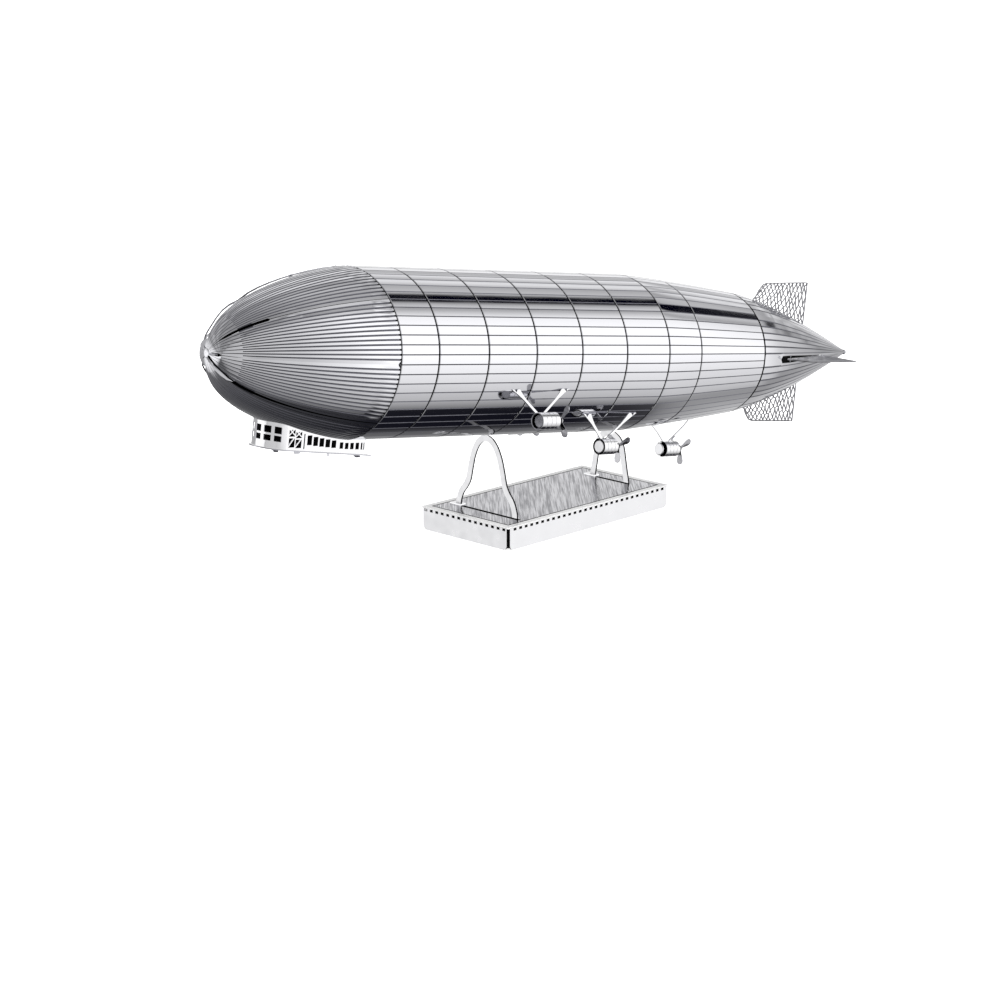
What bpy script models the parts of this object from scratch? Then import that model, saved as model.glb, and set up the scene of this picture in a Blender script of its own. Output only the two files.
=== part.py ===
"""Desktop model of a rigid airship, folded and slotted together from thin sheet steel.

The port side is skinned, the starboard side is left open to show the ring frames
and stringers, and the ship stands nose-up on a folded plinth with two arches.

World frame: metres, +Z up, nose towards -X, port side towards -Y, origin on the
ground under the middle of the whole model.
Ship frame: X runs aft from the nose tip, and angles are counted from the top
round by the port side.
"""

import math

import bmesh
import bpy
from mathutils import Matrix, Vector

MM = 0.001

# Driving dimensions, in millimetres and degrees
SHIP_LENGTH = 170.0
HULL_RADIUS = 14.6
PITCH_DEG = 8.2
NOSE_HEIGHT = 42.2
SHEET = 0.25
SKIN_TO_RING = 0.20
SEAM = 0.10
SEAT_GAP = 0.12

NOSE_END = 29.2
PARALLEL_END = 96.8
TAIL_START = 128.0
NOSE_POWER = 1.3
NOSE_FULLNESS = 0.43
TAPER_DEPTH = 0.18
TAPER_POWER = 1.2
TAIL_POWER = 1.3

SKIN_SEAMS = (NOSE_END, 37.9, 49.7, 61.5, 73.2, 85.1, PARALLEL_END, 106.7, 117.3, TAIL_START)
EXTRA_RINGS = (19.2, 139.0, 150.0)
RING_DEPTH_SHARE = 0.2
SKIN_FROM_DEG, SKIN_TO_DEG, SKIN_STEPS = -5.0, 185.0, 20
RING_STEPS = 36
STRINGER_ANGLES = (-15.0, -45.0, -75.0, -105.0, -135.0, -165.0)
STRINGER_WIDTH_DEG = 1.8
CAP_LENGTH = 0.6
CAP_GAP = 0.15
CAP_FRONT_SHARE = 0.55
GORES = (
    # name, first angle, last angle
    ("top", -5.0, 44.5),
    ("upper", 46.0, 89.5),
    ("lower", 91.0, 133.5),
    ("bottom", 135.0, 185.0),
)

CAR_NOSE_LENGTH = 3.2
CAR_NOSE_REAR = 15.6
CAR_FRONT, CAR_REAR = CAR_NOSE_REAR - CAR_NOSE_LENGTH, 33.3
CAR_HALF_WIDTH = 3.5
CAR_FLOOR_FRONT_Z, CAR_FLOOR_REAR_Z = -15.2, -16.7
CAR_FLOOR_REAR_OVERHANG, CAR_FLOOR_SIDE_OVERHANG = 1.0, 0.5
CAR_NOSE_WINDOWS = (-60.0, -30.0, 0.0, 30.0, 60.0)
CAR_NOSE_WINDOW_HALF_DEG = 10.5
CAR_NOSE_ROWS = (0.27, 0.50, 0.60, 0.85)
CAR_WINDOW_GROUPS = (
    # first place, count, pitch, width, low and high share of the wall's height
    (16.0, 2, 1.5, 1.0, 0.27, 0.50),
    (16.0, 2, 1.5, 1.0, 0.60, 0.85),
    (20.0, 5, 1.36, 1.0, 0.36, 0.86),
    (27.2, 5, 1.28, 0.85, 0.34, 0.80),
)

POD_RADIUS = 1.5
POD_STEPS = 20
STRUT_HALF_WIDTH = 0.35
STRUT_FOOT_HALF_WIDTH = 0.8
STRUT_FOOT_LENGTH = 0.9
STRUT_FORE_OFFSET = 0.45
PODS = (
    # name, angle, distance of its axis from the hull axis, front end, rear end,
    # strut foot angle, front strut foot, rear strut foot, propeller turn
    ("fore_port", 119.7, 19.34, 60.5, 64.9, 108.0, 57.4, 70.0, 30.0),
    ("fore_starboard", -119.7, 19.34, 60.5, 64.9, -108.0, 57.4, 70.0, -30.0),
    ("aft_port", 143.9, 19.2, 83.4, 87.1, 131.0, 79.6, 91.9, 58.0),
    ("aft_starboard", -143.9, 19.2, 83.4, 87.1, -131.0, 79.6, 91.9, -9.0),
    ("rear", 180.0, 18.7, 114.4, 118.3, 180.0, 111.0, 123.0, 52.0),
)
PROPELLER_GAP = 1.4
PIN_RADIUS, PIN_END_GAP = 0.3, 0.12
PROPELLER_BLADES = 3
BLADE_ROOT_HALF, BLADE_ROOT_OUT = 0.45, 0.26
BLADE_OUTLINE = (
    # distance from the hub's centre, half width
    (0.9, 0.27),
    (1.7, 0.38),
    (2.5, 0.52),
    (2.9, 0.48),
    (3.15, 0.25),
)

FIN_OUTLINE = (
    # place along the ship, distance from its axis; the root follows the hull
    (140.3, 13.7),
    (154.3, 14.0),
)
FIN_ROOT_FRONT, FIN_ROOT_REAR = 137.2, 154.3
FIN_BAR = 0.32
FIN_BAYS = 7
FIN_SMALLEST_HOLE = 1.15

PLINTH_X = -5.3
PLINTH_LENGTH, PLINTH_WIDTH, PLINTH_HEIGHT = 42.6, 21.8, 4.2
ARCHES = (
    # name, place along X, half width of the feet
    ("arch_front", -20.9, 7.3),
    ("arch_rear", 11.8, 4.6),
)
ARCH_OUTER = (
    # share of the half width, share of the height
    (0.15, 0.94),
    (0.31, 0.82),
    (0.47, 0.64),
    (0.56, 0.47),
    (0.62, 0.35),
    (0.73, 0.27),
    (0.90, 0.17),
    (0.99, 0.07),
    (1.00, 0.00),
)
ARCH_BAR = 1.3

# Colours as linear values from the photograph, with roughness
FINISHES = {
    "polished_skin": ((0.62, 0.62, 0.65), 0.12),
    "etched_frame": ((0.42, 0.42, 0.45), 0.28),
    "etched_car": ((0.70, 0.70, 0.72), 0.25),
    "pale_fin": ((0.72, 0.72, 0.72), 0.35),
    "bright_plinth": ((0.74, 0.74, 0.76), 0.18),
    "polished_pod": ((0.60, 0.60, 0.62), 0.15),
}


def clear_scene():
    for item in list(bpy.data.objects):
        bpy.data.objects.remove(item, do_unlink=True)


def new_collection(name):
    group = bpy.data.collections.new(name)
    bpy.context.scene.collection.children.link(group)
    return group


def make_materials():
    made = {}
    for name, (colour, roughness) in FINISHES.items():
        material = bpy.data.materials.new(name)
        material.use_nodes = True
        shader = material.node_tree.nodes["Principled BSDF"]
        shader.inputs["Base Color"].default_value = (*colour, 1.0)
        shader.inputs["Roughness"].default_value = roughness
        shader.inputs["Metallic"].default_value = 1.0
        made[name] = material
    return made


def hull_radius(s):
    """Outer radius of the skin at a place s along the ship."""
    if s < NOSE_END:
        share = 1.0 - s / NOSE_END
        return HULL_RADIUS * (1.0 - share**NOSE_POWER) ** NOSE_FULLNESS
    if s < PARALLEL_END:
        return HULL_RADIUS
    if s < TAIL_START:
        share = (s - PARALLEL_END) / (TAIL_START - PARALLEL_END)
        return HULL_RADIUS * (1.0 - TAPER_DEPTH * share**TAPER_POWER)
    share = (s - TAIL_START) / (SHIP_LENGTH - TAIL_START)
    return HULL_RADIUS * (1.0 - TAPER_DEPTH) * (1.0 - min(share, 1.0) ** TAIL_POWER)


def spread(first, last, count, power=1.0):
    """Places from first to last, closer together near first when power is over 1."""
    return [first + (last - first) * (i / count) ** power for i in range(count + 1)]


def around(angle_deg, distance):
    """Y and Z of a point at an angle and distance from the ship's axis."""
    angle = math.radians(angle_deg)
    return -distance * math.sin(angle), distance * math.cos(angle)


class Builder:
    """Keeps the collections, the materials and the empty that carries the ship."""

    def __init__(self):
        self.parts = new_collection("airship_model")
        self.helpers = new_collection("cutters")
        self.materials = make_materials()
        self.ship = bpy.data.objects.new("ship_frame", None)
        self.parts.objects.link(self.ship)
        pitch = math.radians(PITCH_DEG)
        cap_front = CAP_FRONT_SHARE * hull_radius(CAP_LENGTH + CAP_GAP)
        nose_x = 0.5 * (cap_front * math.sin(pitch) - SHIP_LENGTH * math.cos(pitch))
        self.ship.location = (nose_x * MM, 0.0, NOSE_HEIGHT * MM)
        self.ship.rotation_euler = (0.0, pitch, 0.0)

    def add(self, name, data, finish, on_ship=True, helper=False):
        item = bpy.data.objects.new(name, data)
        (self.helpers if helper else self.parts).objects.link(item)
        if on_ship:
            item.parent = self.ship
        data.materials.append(self.materials[finish])
        return item

    def turned_sheet(self, name, profile, finish, first_deg=0.0, last_deg=360.0, steps=36):
        """A sheet turned about the ship's axis from (place, radius) pairs, nose to tail."""
        mesh = bpy.data.meshes.new(name)
        points = [(s * MM, 0.0, radius * MM) for s, radius in profile]
        links = [(i, i + 1) for i in range(len(points) - 1)]
        mesh.from_pydata(points, links, [])
        item = self.add(name, mesh, finish)
        item.rotation_euler = (math.radians(first_deg), 0.0, 0.0)
        whole = last_deg - first_deg >= 360.0
        turn = item.modifiers.new("turn", "SCREW")
        turn.axis = "X"
        turn.angle = math.radians(last_deg - first_deg)
        turn.steps = turn.render_steps = steps
        turn.use_merge_vertices = whole
        turn.merge_threshold = 1e-7
        turn.use_normal_flip = True
        turn.use_smooth_shade = False
        thick = item.modifiers.new("sheet", "SOLIDIFY")
        thick.thickness = SHEET * MM
        thick.offset = -1.0
        return item

    def plate(self, name, loops, finish, thickness=SHEET, on_ship=True, helper=False):
        """A flat sheet from closed outlines; the loops after the first are holes.

        The curve is drawn in millimetres and its object is scaled, because the fill of
        a curve drawn in metres loses corners that lie close together.
        """
        curve = bpy.data.curves.new(name, "CURVE")
        curve.dimensions = "2D"
        curve.fill_mode = "BOTH"
        curve.extrude = 0.5 * thickness
        for loop in loops:
            spline = curve.splines.new("POLY")
            spline.points.add(len(loop) - 1)
            for point, (x, y) in zip(spline.points, loop):
                point.co = (x, y, 0.0, 1.0)
            spline.use_cyclic_u = True
        item = self.add(name, curve, finish, on_ship, helper)
        item.scale = (MM, MM, MM)
        return item

    def to_mesh(self, item):
        """Changes a curve object into a welded mesh object of the same name."""
        bpy.context.view_layer.update()
        seen = item.evaluated_get(bpy.context.evaluated_depsgraph_get())
        mesh = bpy.data.meshes.new_from_object(seen)
        work = bmesh.new()
        work.from_mesh(mesh)
        bmesh.ops.remove_doubles(work, verts=work.verts, dist=1e-4)
        work.to_mesh(mesh)
        work.free()
        name, parent, place = item.name, item.parent, item.matrix_basis.copy()
        group = item.users_collection[0]
        bpy.data.objects.remove(item, do_unlink=True)
        made = bpy.data.objects.new(name, mesh)
        group.objects.link(made)
        made.parent = parent
        made.matrix_basis = place
        return made

    def join(self, item, piece):
        """Joins a helper piece to a node with a Boolean, and hides the helper."""
        piece.hide_render = True
        piece.display_type = "WIRE"
        union = item.modifiers.new(f"join_{piece.name}", "BOOLEAN")
        union.operation = "UNION"
        union.object = piece


def build_skin(b):
    """Port side of the hull: nose gores, panels between the seams and tail gores."""
    for name, first, last in GORES:
        nose = [(s, hull_radius(s)) for s in spread(CAP_LENGTH + CAP_GAP, NOSE_END - SEAM, 10, 1.5)]
        b.turned_sheet(f"nose_gore_{name}", nose, "polished_skin", first, last, 5)
    for number in range(len(SKIN_SEAMS) - 1):
        fore, aft = SKIN_SEAMS[number], SKIN_SEAMS[number + 1]
        cuts = 1 if aft <= PARALLEL_END else 3
        panel = [(s, hull_radius(s)) for s in spread(fore, aft - SEAM, cuts)]
        b.turned_sheet(
            f"skin_panel_{number + 1}",
            panel,
            "polished_skin",
            SKIN_FROM_DEG,
            SKIN_TO_DEG,
            SKIN_STEPS,
        )
    for name, first, last in GORES:
        places = spread(TAIL_START, SHIP_LENGTH - CAP_LENGTH - CAP_GAP, 9)
        tail = [(s, hull_radius(s)) for s in places]
        b.turned_sheet(f"tail_gore_{name}", tail, "polished_skin", first, last, 5)


def build_caps(b):
    """Small discs that close the nose and the tail."""
    nose_radius = hull_radius(CAP_LENGTH + CAP_GAP)
    tail_radius = hull_radius(SHIP_LENGTH - 2.0 * CAP_LENGTH)
    for name, place, radius in (
        ("nose_cap", 0.5 * CAP_LENGTH, nose_radius),
        ("tail_cap", SHIP_LENGTH - 0.5 * CAP_LENGTH, tail_radius),
    ):
        mesh = bpy.data.meshes.new(name)
        work = bmesh.new()
        bmesh.ops.create_cone(
            work,
            cap_ends=True,
            segments=20,
            radius1=radius * MM,
            radius2=CAP_FRONT_SHARE * radius * MM,
            depth=CAP_LENGTH * MM,
        )
        work.to_mesh(mesh)
        work.free()
        item = b.add(name, mesh, "etched_frame")
        outward = -90.0 if name == "nose_cap" else 90.0
        item.rotation_euler = (0.0, math.radians(outward), 0.0)
        item.location = (place * MM, 0.0, 0.0)


def ring_places():
    return sorted((*SKIN_SEAMS, *EXTRA_RINGS))


def build_rings(b):
    """Flat ring frames just inside the skin, one at each seam and a few between."""
    for number, place in enumerate(ring_places(), start=1):
        outer = hull_radius(place) - SHEET - SKIN_TO_RING
        inner = outer - RING_DEPTH_SHARE * hull_radius(place)
        middle = place - 0.5 * SEAM
        flat = [(middle + 0.5 * SHEET, outer), (middle + 0.5 * SHEET, inner)]
        b.turned_sheet(f"ring_frame_{number:02d}", flat, "etched_frame", steps=RING_STEPS)


def build_stringers(b):
    """Starboard strips from the nose to the tail, lying on the ring frames."""
    nose = spread(CAP_LENGTH + CAP_GAP, NOSE_END, 10, 1.5)
    tail = spread(PARALLEL_END, SHIP_LENGTH - CAP_LENGTH - CAP_GAP, 12)
    line = [(s, hull_radius(s)) for s in nose + tail]
    for number, angle in enumerate(STRINGER_ANGLES, start=1):
        half = 0.5 * STRINGER_WIDTH_DEG
        b.turned_sheet(f"stringer_{number}", line, "etched_frame", angle - half, angle + half, 1)


def rectangle(x0, y0, x1, y1):
    return [(x0, y0), (x1, y0), (x1, y1), (x0, y1)]


def floor_z(s):
    share = (s - CAR_FRONT) / (CAR_REAR - CAR_FRONT)
    return CAR_FLOOR_FRONT_Z + share * (CAR_FLOOR_REAR_Z - CAR_FLOOR_FRONT_Z)


def under_hull(s, y):
    """Height of the hull's underside at a place s and a distance y to the side."""
    return -math.sqrt(hull_radius(s) ** 2 - y**2)


def car_nose_point(turn_deg, beyond=0.0):
    """Place and side of a point round the car's nose, at a distance beyond its wall."""
    turn = math.radians(turn_deg)
    s = CAR_NOSE_REAR - (CAR_NOSE_LENGTH + beyond) * math.cos(turn)
    return s, (CAR_HALF_WIDTH + beyond) * math.sin(turn)


def car_room(s, y):
    """Height of the car's wall between its floor and the hull."""
    return under_hull(s, y) - SEAT_GAP - floor_z(s)


def car_windows():
    """Two rows of small windows in the fore part and one row of tall ones behind."""
    windows = []
    for first, count, pitch, width, low, high in CAR_WINDOW_GROUPS:
        for column in range(count):
            x0 = first + pitch * column
            room = car_room(x0, CAR_HALF_WIDTH)
            sill = floor_z(x0 + width)
            windows.append(rectangle(x0, sill + low * room, x0 + width, sill + high * room))
    return windows


def build_car_nose(b):
    """Rolled front wall of the car, with its window openings left out."""
    edges = [-90.0]
    for turn in CAR_NOSE_WINDOWS:
        edges += [turn - CAR_NOSE_WINDOW_HALF_DEG, turn + CAR_NOSE_WINDOW_HALF_DEG]
    edges.append(90.0)
    levels = (0.0, *CAR_NOSE_ROWS, 1.0)
    points, faces = [], []
    for turn in edges:
        s, y = car_nose_point(turn)
        room = car_room(s + 0.5 * SHEET, y)
        points += [(s * MM, y * MM, (floor_z(s) + level * room) * MM) for level in levels]
    high = len(levels)
    for column in range(len(edges) - 1):
        for row in range(high - 1):
            if column % 2 and row % 2:
                continue
            first = column * high + row
            faces.append((first, first + high, first + high + 1, first + 1))
    mesh = bpy.data.meshes.new("car_wall_front")
    mesh.from_pydata(points, [], faces)
    wall = b.add("car_wall_front", mesh, "etched_car")
    thick = wall.modifiers.new("sheet", "SOLIDIFY")
    thick.thickness = SHEET * MM
    thick.offset = 0.0


def build_car(b):
    """Control car: pierced side walls, a rear wall and a floor that overhangs them."""
    build_car_nose(b)
    upright = math.radians(90.0)
    y = CAR_HALF_WIDTH
    top_at = y - 0.5 * SHEET
    first = CAR_NOSE_REAR + SEAT_GAP
    tops = [(s, under_hull(s, top_at) - SEAT_GAP) for s in spread(first, CAR_REAR, 8)]
    bottoms = [(CAR_REAR, floor_z(CAR_REAR)), (first, floor_z(first))]
    for side, sign in (("port", -1.0), ("starboard", 1.0)):
        wall = b.plate(f"car_wall_{side}", [tops + bottoms, *car_windows()], "etched_car")
        wall.rotation_euler = (upright, 0.0, 0.0)
        wall.location = (0.0, sign * y * MM, 0.0)
    inside = y - 0.5 * SHEET - SEAT_GAP
    s = CAR_REAR - 0.5 * SHEET
    top = [(y0, under_hull(s + SHEET, y0) - SEAT_GAP) for y0 in spread(-inside, inside, 6)]
    outline = top + [(inside, floor_z(s)), (-inside, floor_z(s))]
    wall = b.plate("car_wall_rear", [outline], "etched_car")
    wall.rotation_euler = (upright, 0.0, upright)
    wall.location = (s * MM, 0.0, 0.0)
    length = CAR_REAR - CAR_FRONT
    drop = CAR_FLOOR_FRONT_Z - CAR_FLOOR_REAR_Z
    middle = 0.5 * (CAR_FRONT + CAR_REAR)
    beyond = CAR_FLOOR_SIDE_OVERHANG
    rear = CAR_REAR + CAR_FLOOR_REAR_OVERHANG
    edge = [(rear, -y - beyond), (rear, y + beyond)]
    edge += [car_nose_point(turn, beyond) for turn in spread(90.0, -90.0, 12)]
    floor = b.plate("car_floor", [[(s0 - middle, y0) for s0, y0 in edge]], "etched_car")
    below = floor_z(middle) - 0.5 * SHEET - SEAT_GAP
    floor.location = (middle * MM, 0.0, below * MM)
    floor.rotation_euler = (0.0, math.atan2(drop, length), 0.0)


def strut_loop(foot, pod_end, foot_height, pod_height):
    """A strip that leans from its foot on the hull to the pod and flares at the foot."""
    lean = (pod_end - foot) / (foot_height - pod_height)
    neck = foot + lean * STRUT_FOOT_LENGTH
    neck_height = foot_height - STRUT_FOOT_LENGTH
    return [
        (foot - STRUT_FOOT_HALF_WIDTH, foot_height),
        (neck - STRUT_HALF_WIDTH, neck_height),
        (pod_end - STRUT_HALF_WIDTH, pod_height),
        (pod_end + STRUT_HALF_WIDTH, pod_height),
        (neck + STRUT_HALF_WIDTH, neck_height),
        (foot + STRUT_FOOT_HALF_WIDTH, foot_height),
    ]


def build_pods(b):
    """Engine pods: a tube open at the front, two struts up to the hull and a pin behind."""
    for name, angle, distance, front, rear, foot_angle, fore, aft, _ in PODS:
        pod_y, pod_z = around(angle, distance)
        shape = [(front, POD_RADIUS), (rear, POD_RADIUS), (rear, 0.0)]
        pod = b.turned_sheet(f"pod_{name}", shape, "polished_pod", steps=POD_STEPS)
        pod.modifiers["turn"].merge_threshold = 1e-6
        pod.location = (0.0, pod_y * MM, pod_z * MM)
        for end, foot, pod_end in (
            ("fore", fore, front + STRUT_FORE_OFFSET),
            ("aft", aft, 0.5 * (front + rear)),
        ):
            away = hull_radius(foot - STRUT_FOOT_HALF_WIDTH) + SEAT_GAP
            foot_y, foot_z = around(foot_angle, away)
            offset = Vector((foot_y - pod_y, foot_z - pod_z))
            loop = strut_loop(foot, pod_end, offset.length, POD_RADIUS - 0.5 * SHEET)
            strut = b.plate(f"strut_{name}_{end}", [loop], "polished_pod", helper=True)
            strut.location = pod.location
            strut.rotation_euler = (math.atan2(offset.y, offset.x), 0.0, 0.0)
            strut = b.to_mesh(strut)
            b.join(pod, strut)
        inside = 0.5 * SHEET
        reach = PROPELLER_GAP - PIN_END_GAP
        mesh = bpy.data.meshes.new(f"pin_{name}")
        work = bmesh.new()
        bmesh.ops.create_cone(
            work,
            cap_ends=True,
            segments=12,
            radius1=PIN_RADIUS * MM,
            radius2=PIN_RADIUS * MM,
            depth=(inside + reach) * MM,
        )
        work.to_mesh(mesh)
        work.free()
        pin = b.add(f"pin_{name}", mesh, "polished_pod", helper=True)
        middle = rear + 0.5 * (reach - inside)
        pin.location = (middle * MM, pod_y * MM, pod_z * MM)
        pin.rotation_euler = (0.0, math.radians(90.0), 0.0)
        b.join(pod, pin)


def propeller_loop():
    """One closed outline of the hub and its blades."""
    loop = []
    for blade in range(PROPELLER_BLADES):
        turn = Matrix.Rotation(math.tau * blade / PROPELLER_BLADES, 2)
        side = [(half, out) for out, half in BLADE_OUTLINE]
        other = [(-half, out) for out, half in reversed(BLADE_OUTLINE)]
        between = [(-BLADE_ROOT_HALF, BLADE_ROOT_OUT)]
        loop += [turn @ Vector(point) for point in side + other + between]
    return [(point.x, point.y) for point in loop]


def build_propellers(b):
    """A flat propeller behind each pod, its origin on the pod's axis."""
    for name, angle, distance, _, rear, _, _, _, turn in PODS:
        y, z = around(angle, distance)
        wheel = b.plate(f"propeller_{name}", [propeller_loop()], "polished_pod")
        upright = Matrix.Rotation(math.radians(90.0), 4, "Z") @ Matrix.Rotation(
            math.radians(90.0), 4, "X"
        )
        place = rear + PROPELLER_GAP + 0.5 * SHEET
        wheel.matrix_basis = (
            Matrix.Translation((place * MM, y * MM, z * MM))
            @ Matrix.Rotation(math.radians(turn), 4, "X")
            @ upright
            @ Matrix.Scale(MM, 4)
        )


def inset(points, distance):
    """A smaller copy of a triangle, its sides moved in by the distance."""
    corners = [Vector(point) for point in points]
    if (corners[1] - corners[0]).cross(corners[2] - corners[0]) < 0.0:
        corners.reverse()
    sides = [(corners[(i + 1) % 3] - corners[i]).length for i in range(3)]
    area = 0.5 * (corners[1] - corners[0]).cross(corners[2] - corners[0])
    inner_radius = 2.0 * area / sum(sides)
    if inner_radius <= distance * FIN_SMALLEST_HOLE:
        return None
    centre = sum((corners[i] * sides[(i + 1) % 3] for i in range(3)), Vector((0.0, 0.0)))
    centre /= sum(sides)
    share = 1.0 - distance / inner_radius
    return [tuple(centre + (corner - centre) * share) for corner in corners]


def fin_loops():
    """Outline of a fin and the triangular holes between its zigzag bars."""
    (top_fore, top_fore_out), (top_aft, top_aft_out) = FIN_OUTLINE
    root = [
        (s, hull_radius(s) + SEAT_GAP) for s in spread(FIN_ROOT_REAR, FIN_ROOT_FRONT, 6)
    ]
    outline = [(top_fore, top_fore_out), (top_aft, top_aft_out), *root]
    frame = 0.5 * FIN_BAR
    tops, roots = [], []
    for bay in range(FIN_BAYS + 1):
        share = bay / FIN_BAYS
        out = top_fore_out + share * (top_aft_out - top_fore_out)
        tops.append((top_fore + frame + share * (top_aft - top_fore - 2 * frame), out - frame))
        s = FIN_ROOT_FRONT + share * (FIN_ROOT_REAR - FIN_ROOT_FRONT - frame)
        roots.append((s, hull_radius(s) + SEAT_GAP + frame))
    holes = []
    for bay in range(FIN_BAYS):
        for triangle in (
            (tops[bay], tops[bay + 1], roots[bay + 1]),
            (tops[bay], roots[bay + 1], roots[bay]),
        ):
            hole = inset(triangle, 0.5 * FIN_BAR)
            if hole:
                holes.append(hole)
    return [outline, *holes]


def build_fins(b):
    """Four openwork fins in a cross on the tail cone."""
    for name, turn in (("upper", 90.0), ("port", 180.0), ("lower", 270.0), ("starboard", 0.0)):
        fin = b.plate(f"fin_{name}", fin_loops(), "pale_fin")
        fin.rotation_euler = (math.radians(turn), 0.0, 0.0)


def build_plinth(b):
    """A folded tray, open underneath."""
    mesh = bpy.data.meshes.new("plinth")
    work = bmesh.new()
    size = Matrix.Diagonal((PLINTH_LENGTH * MM, PLINTH_WIDTH * MM, PLINTH_HEIGHT * MM, 1.0))
    bmesh.ops.create_cube(work, size=1.0, matrix=size)
    under = [face for face in work.faces if face.normal.z < -0.5]
    bmesh.ops.delete(work, geom=under, context="FACES_ONLY")
    work.to_mesh(mesh)
    work.free()
    plinth = b.add("plinth", mesh, "bright_plinth", on_ship=False)
    plinth.location = (PLINTH_X * MM, 0.0, 0.5 * PLINTH_HEIGHT * MM)
    thick = plinth.modifiers.new("sheet", "SOLIDIFY")
    thick.thickness = SHEET * MM
    thick.offset = -1.0
    thick.use_even_offset = True


def hull_bottom_height(b, x):
    """World height of the hull's underside over a place x, in millimetres."""
    pitch = math.radians(PITCH_DEG)
    nose_x = b.ship.location.x / MM
    s = (x - nose_x + HULL_RADIUS * math.sin(pitch)) / math.cos(pitch)
    return NOSE_HEIGHT - s * math.sin(pitch) - hull_radius(s) * math.cos(pitch)


def build_arches(b):
    """Two flat arches that carry the hull over the plinth."""
    foot = PLINTH_HEIGHT + SEAT_GAP
    for name, x, half in ARCHES:
        rise = hull_bottom_height(b, x + 0.5 * SHEET) - SEAT_GAP - foot
        outer = [(half * wide, foot + rise * high) for wide, high in ARCH_OUTER]
        inner = [
            ((half - ARCH_BAR) * wide, foot + (rise - ARCH_BAR) * high)
            for wide, high in reversed(ARCH_OUTER)
        ]
        right = [(0.0, foot + rise), *outer, *inner, (0.0, foot + rise - ARCH_BAR)]
        left = [(-y, z) for y, z in reversed(right[1:-1])]
        arch = b.plate(name, [right + left], "bright_plinth", on_ship=False)
        arch.rotation_euler = (math.radians(90.0), 0.0, math.radians(90.0))
        arch.location = (x * MM, 0.0, 0.0)


def main():
    clear_scene()
    b = Builder()
    build_skin(b)
    build_caps(b)
    build_rings(b)
    build_stringers(b)
    build_car(b)
    build_pods(b)
    build_propellers(b)
    build_fins(b)
    build_plinth(b)
    build_arches(b)


main()
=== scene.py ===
"""Looks of a sheet-steel desk model of a rigid airship.

The port side wears an engraved skin, the starboard side shows the ring frames and
stringers, and the ship stands nose-up over a folded plinth.
"""

import math
import random

import bmesh
import bpy
from mathutils import Matrix, Vector


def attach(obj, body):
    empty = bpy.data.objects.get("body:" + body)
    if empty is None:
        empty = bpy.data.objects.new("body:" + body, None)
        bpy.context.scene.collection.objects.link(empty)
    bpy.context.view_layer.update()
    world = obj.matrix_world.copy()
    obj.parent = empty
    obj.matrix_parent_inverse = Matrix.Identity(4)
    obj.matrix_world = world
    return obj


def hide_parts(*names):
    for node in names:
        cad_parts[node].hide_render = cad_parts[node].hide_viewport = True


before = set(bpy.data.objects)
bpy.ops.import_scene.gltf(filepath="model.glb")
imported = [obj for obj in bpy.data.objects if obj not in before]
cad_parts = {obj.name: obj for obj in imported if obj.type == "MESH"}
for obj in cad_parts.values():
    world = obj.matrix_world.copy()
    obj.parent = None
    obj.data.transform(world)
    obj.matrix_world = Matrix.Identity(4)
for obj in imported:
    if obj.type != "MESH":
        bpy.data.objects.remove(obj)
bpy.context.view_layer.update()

MM = 0.001

# The ship's own sizes, in millimetres and degrees
SHIP_LENGTH = 170.0
HULL_RADIUS = 14.6
PITCH_DEG = 8.2
NOSE_X, NOSE_Z = -84.0, 42.2
NOSE_END = 29.2
PARALLEL_END = 96.8
TAIL_START = 128.0
NOSE_POWER, NOSE_FULLNESS = 1.3, 0.43
TAPER_DEPTH, TAPER_POWER, TAIL_POWER = 0.18, 1.2, 1.3
SHEET = 0.25
SEAM = 0.27
SKIN_SEAMS = (29.2, 37.9, 49.7, 61.5, 73.2, 85.1, 96.8, 106.7, 128.0)
EXTRA_RINGS = (19.2, 117.3, 139.0, 150.0)
STRIP_DEG = 360.0 / 56.0
STRINGER_ANGLES = (-15.0, -45.0, -75.0, -105.0, -135.0, -165.0)

SHIP = Matrix.Translation((NOSE_X * MM, 0.0, NOSE_Z * MM)) @ Matrix.Rotation(
    math.radians(PITCH_DEG), 4, "Y"
)


def hull_radius(s):
    """Outer radius of the skin at a place s behind the nose."""
    if s < NOSE_END:
        share = 1.0 - s / NOSE_END
        return HULL_RADIUS * (1.0 - share**NOSE_POWER) ** NOSE_FULLNESS
    if s < PARALLEL_END:
        return HULL_RADIUS
    if s < TAIL_START:
        share = (s - PARALLEL_END) / (TAIL_START - PARALLEL_END)
        return HULL_RADIUS * (1.0 - TAPER_DEPTH * share**TAPER_POWER)
    share = (s - TAIL_START) / (SHIP_LENGTH - TAIL_START)
    return HULL_RADIUS * (1.0 - TAPER_DEPTH) * (1.0 - min(share, 1.0) ** TAIL_POWER)


def around(angle_deg, distance):
    """Y and Z at an angle from the top round by port, at a distance from the axis."""
    angle = math.radians(angle_deg)
    return -distance * math.sin(angle), distance * math.cos(angle)


def angle_of(point):
    """The angle from the top round by port, from -90 up to 270 degrees."""
    angle = math.degrees(math.atan2(-point.y, point.z))
    return angle + 360.0 if angle < -90.0 else angle


# Small tools for modelling


def edit(name):
    """Names the primitive just added and opens it for editing."""
    piece = bpy.context.object
    piece.name = piece.data.name = name
    bpy.ops.object.mode_set(mode="EDIT")
    return piece


def pick(piece, kind, test):
    """Selects the corners, edges or faces that pass the test."""
    bpy.ops.mesh.select_mode(type=kind)
    bpy.ops.mesh.select_all(action="DESELECT")
    shape = bmesh.from_edit_mesh(piece.data)
    group = {"VERT": shape.verts, "EDGE": shape.edges, "FACE": shape.faces}[kind]
    for item in [item for item in group if test(item)]:
        item.select_set(True)
    shape.select_flush_mode()
    bmesh.update_edit_mesh(piece.data)


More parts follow.
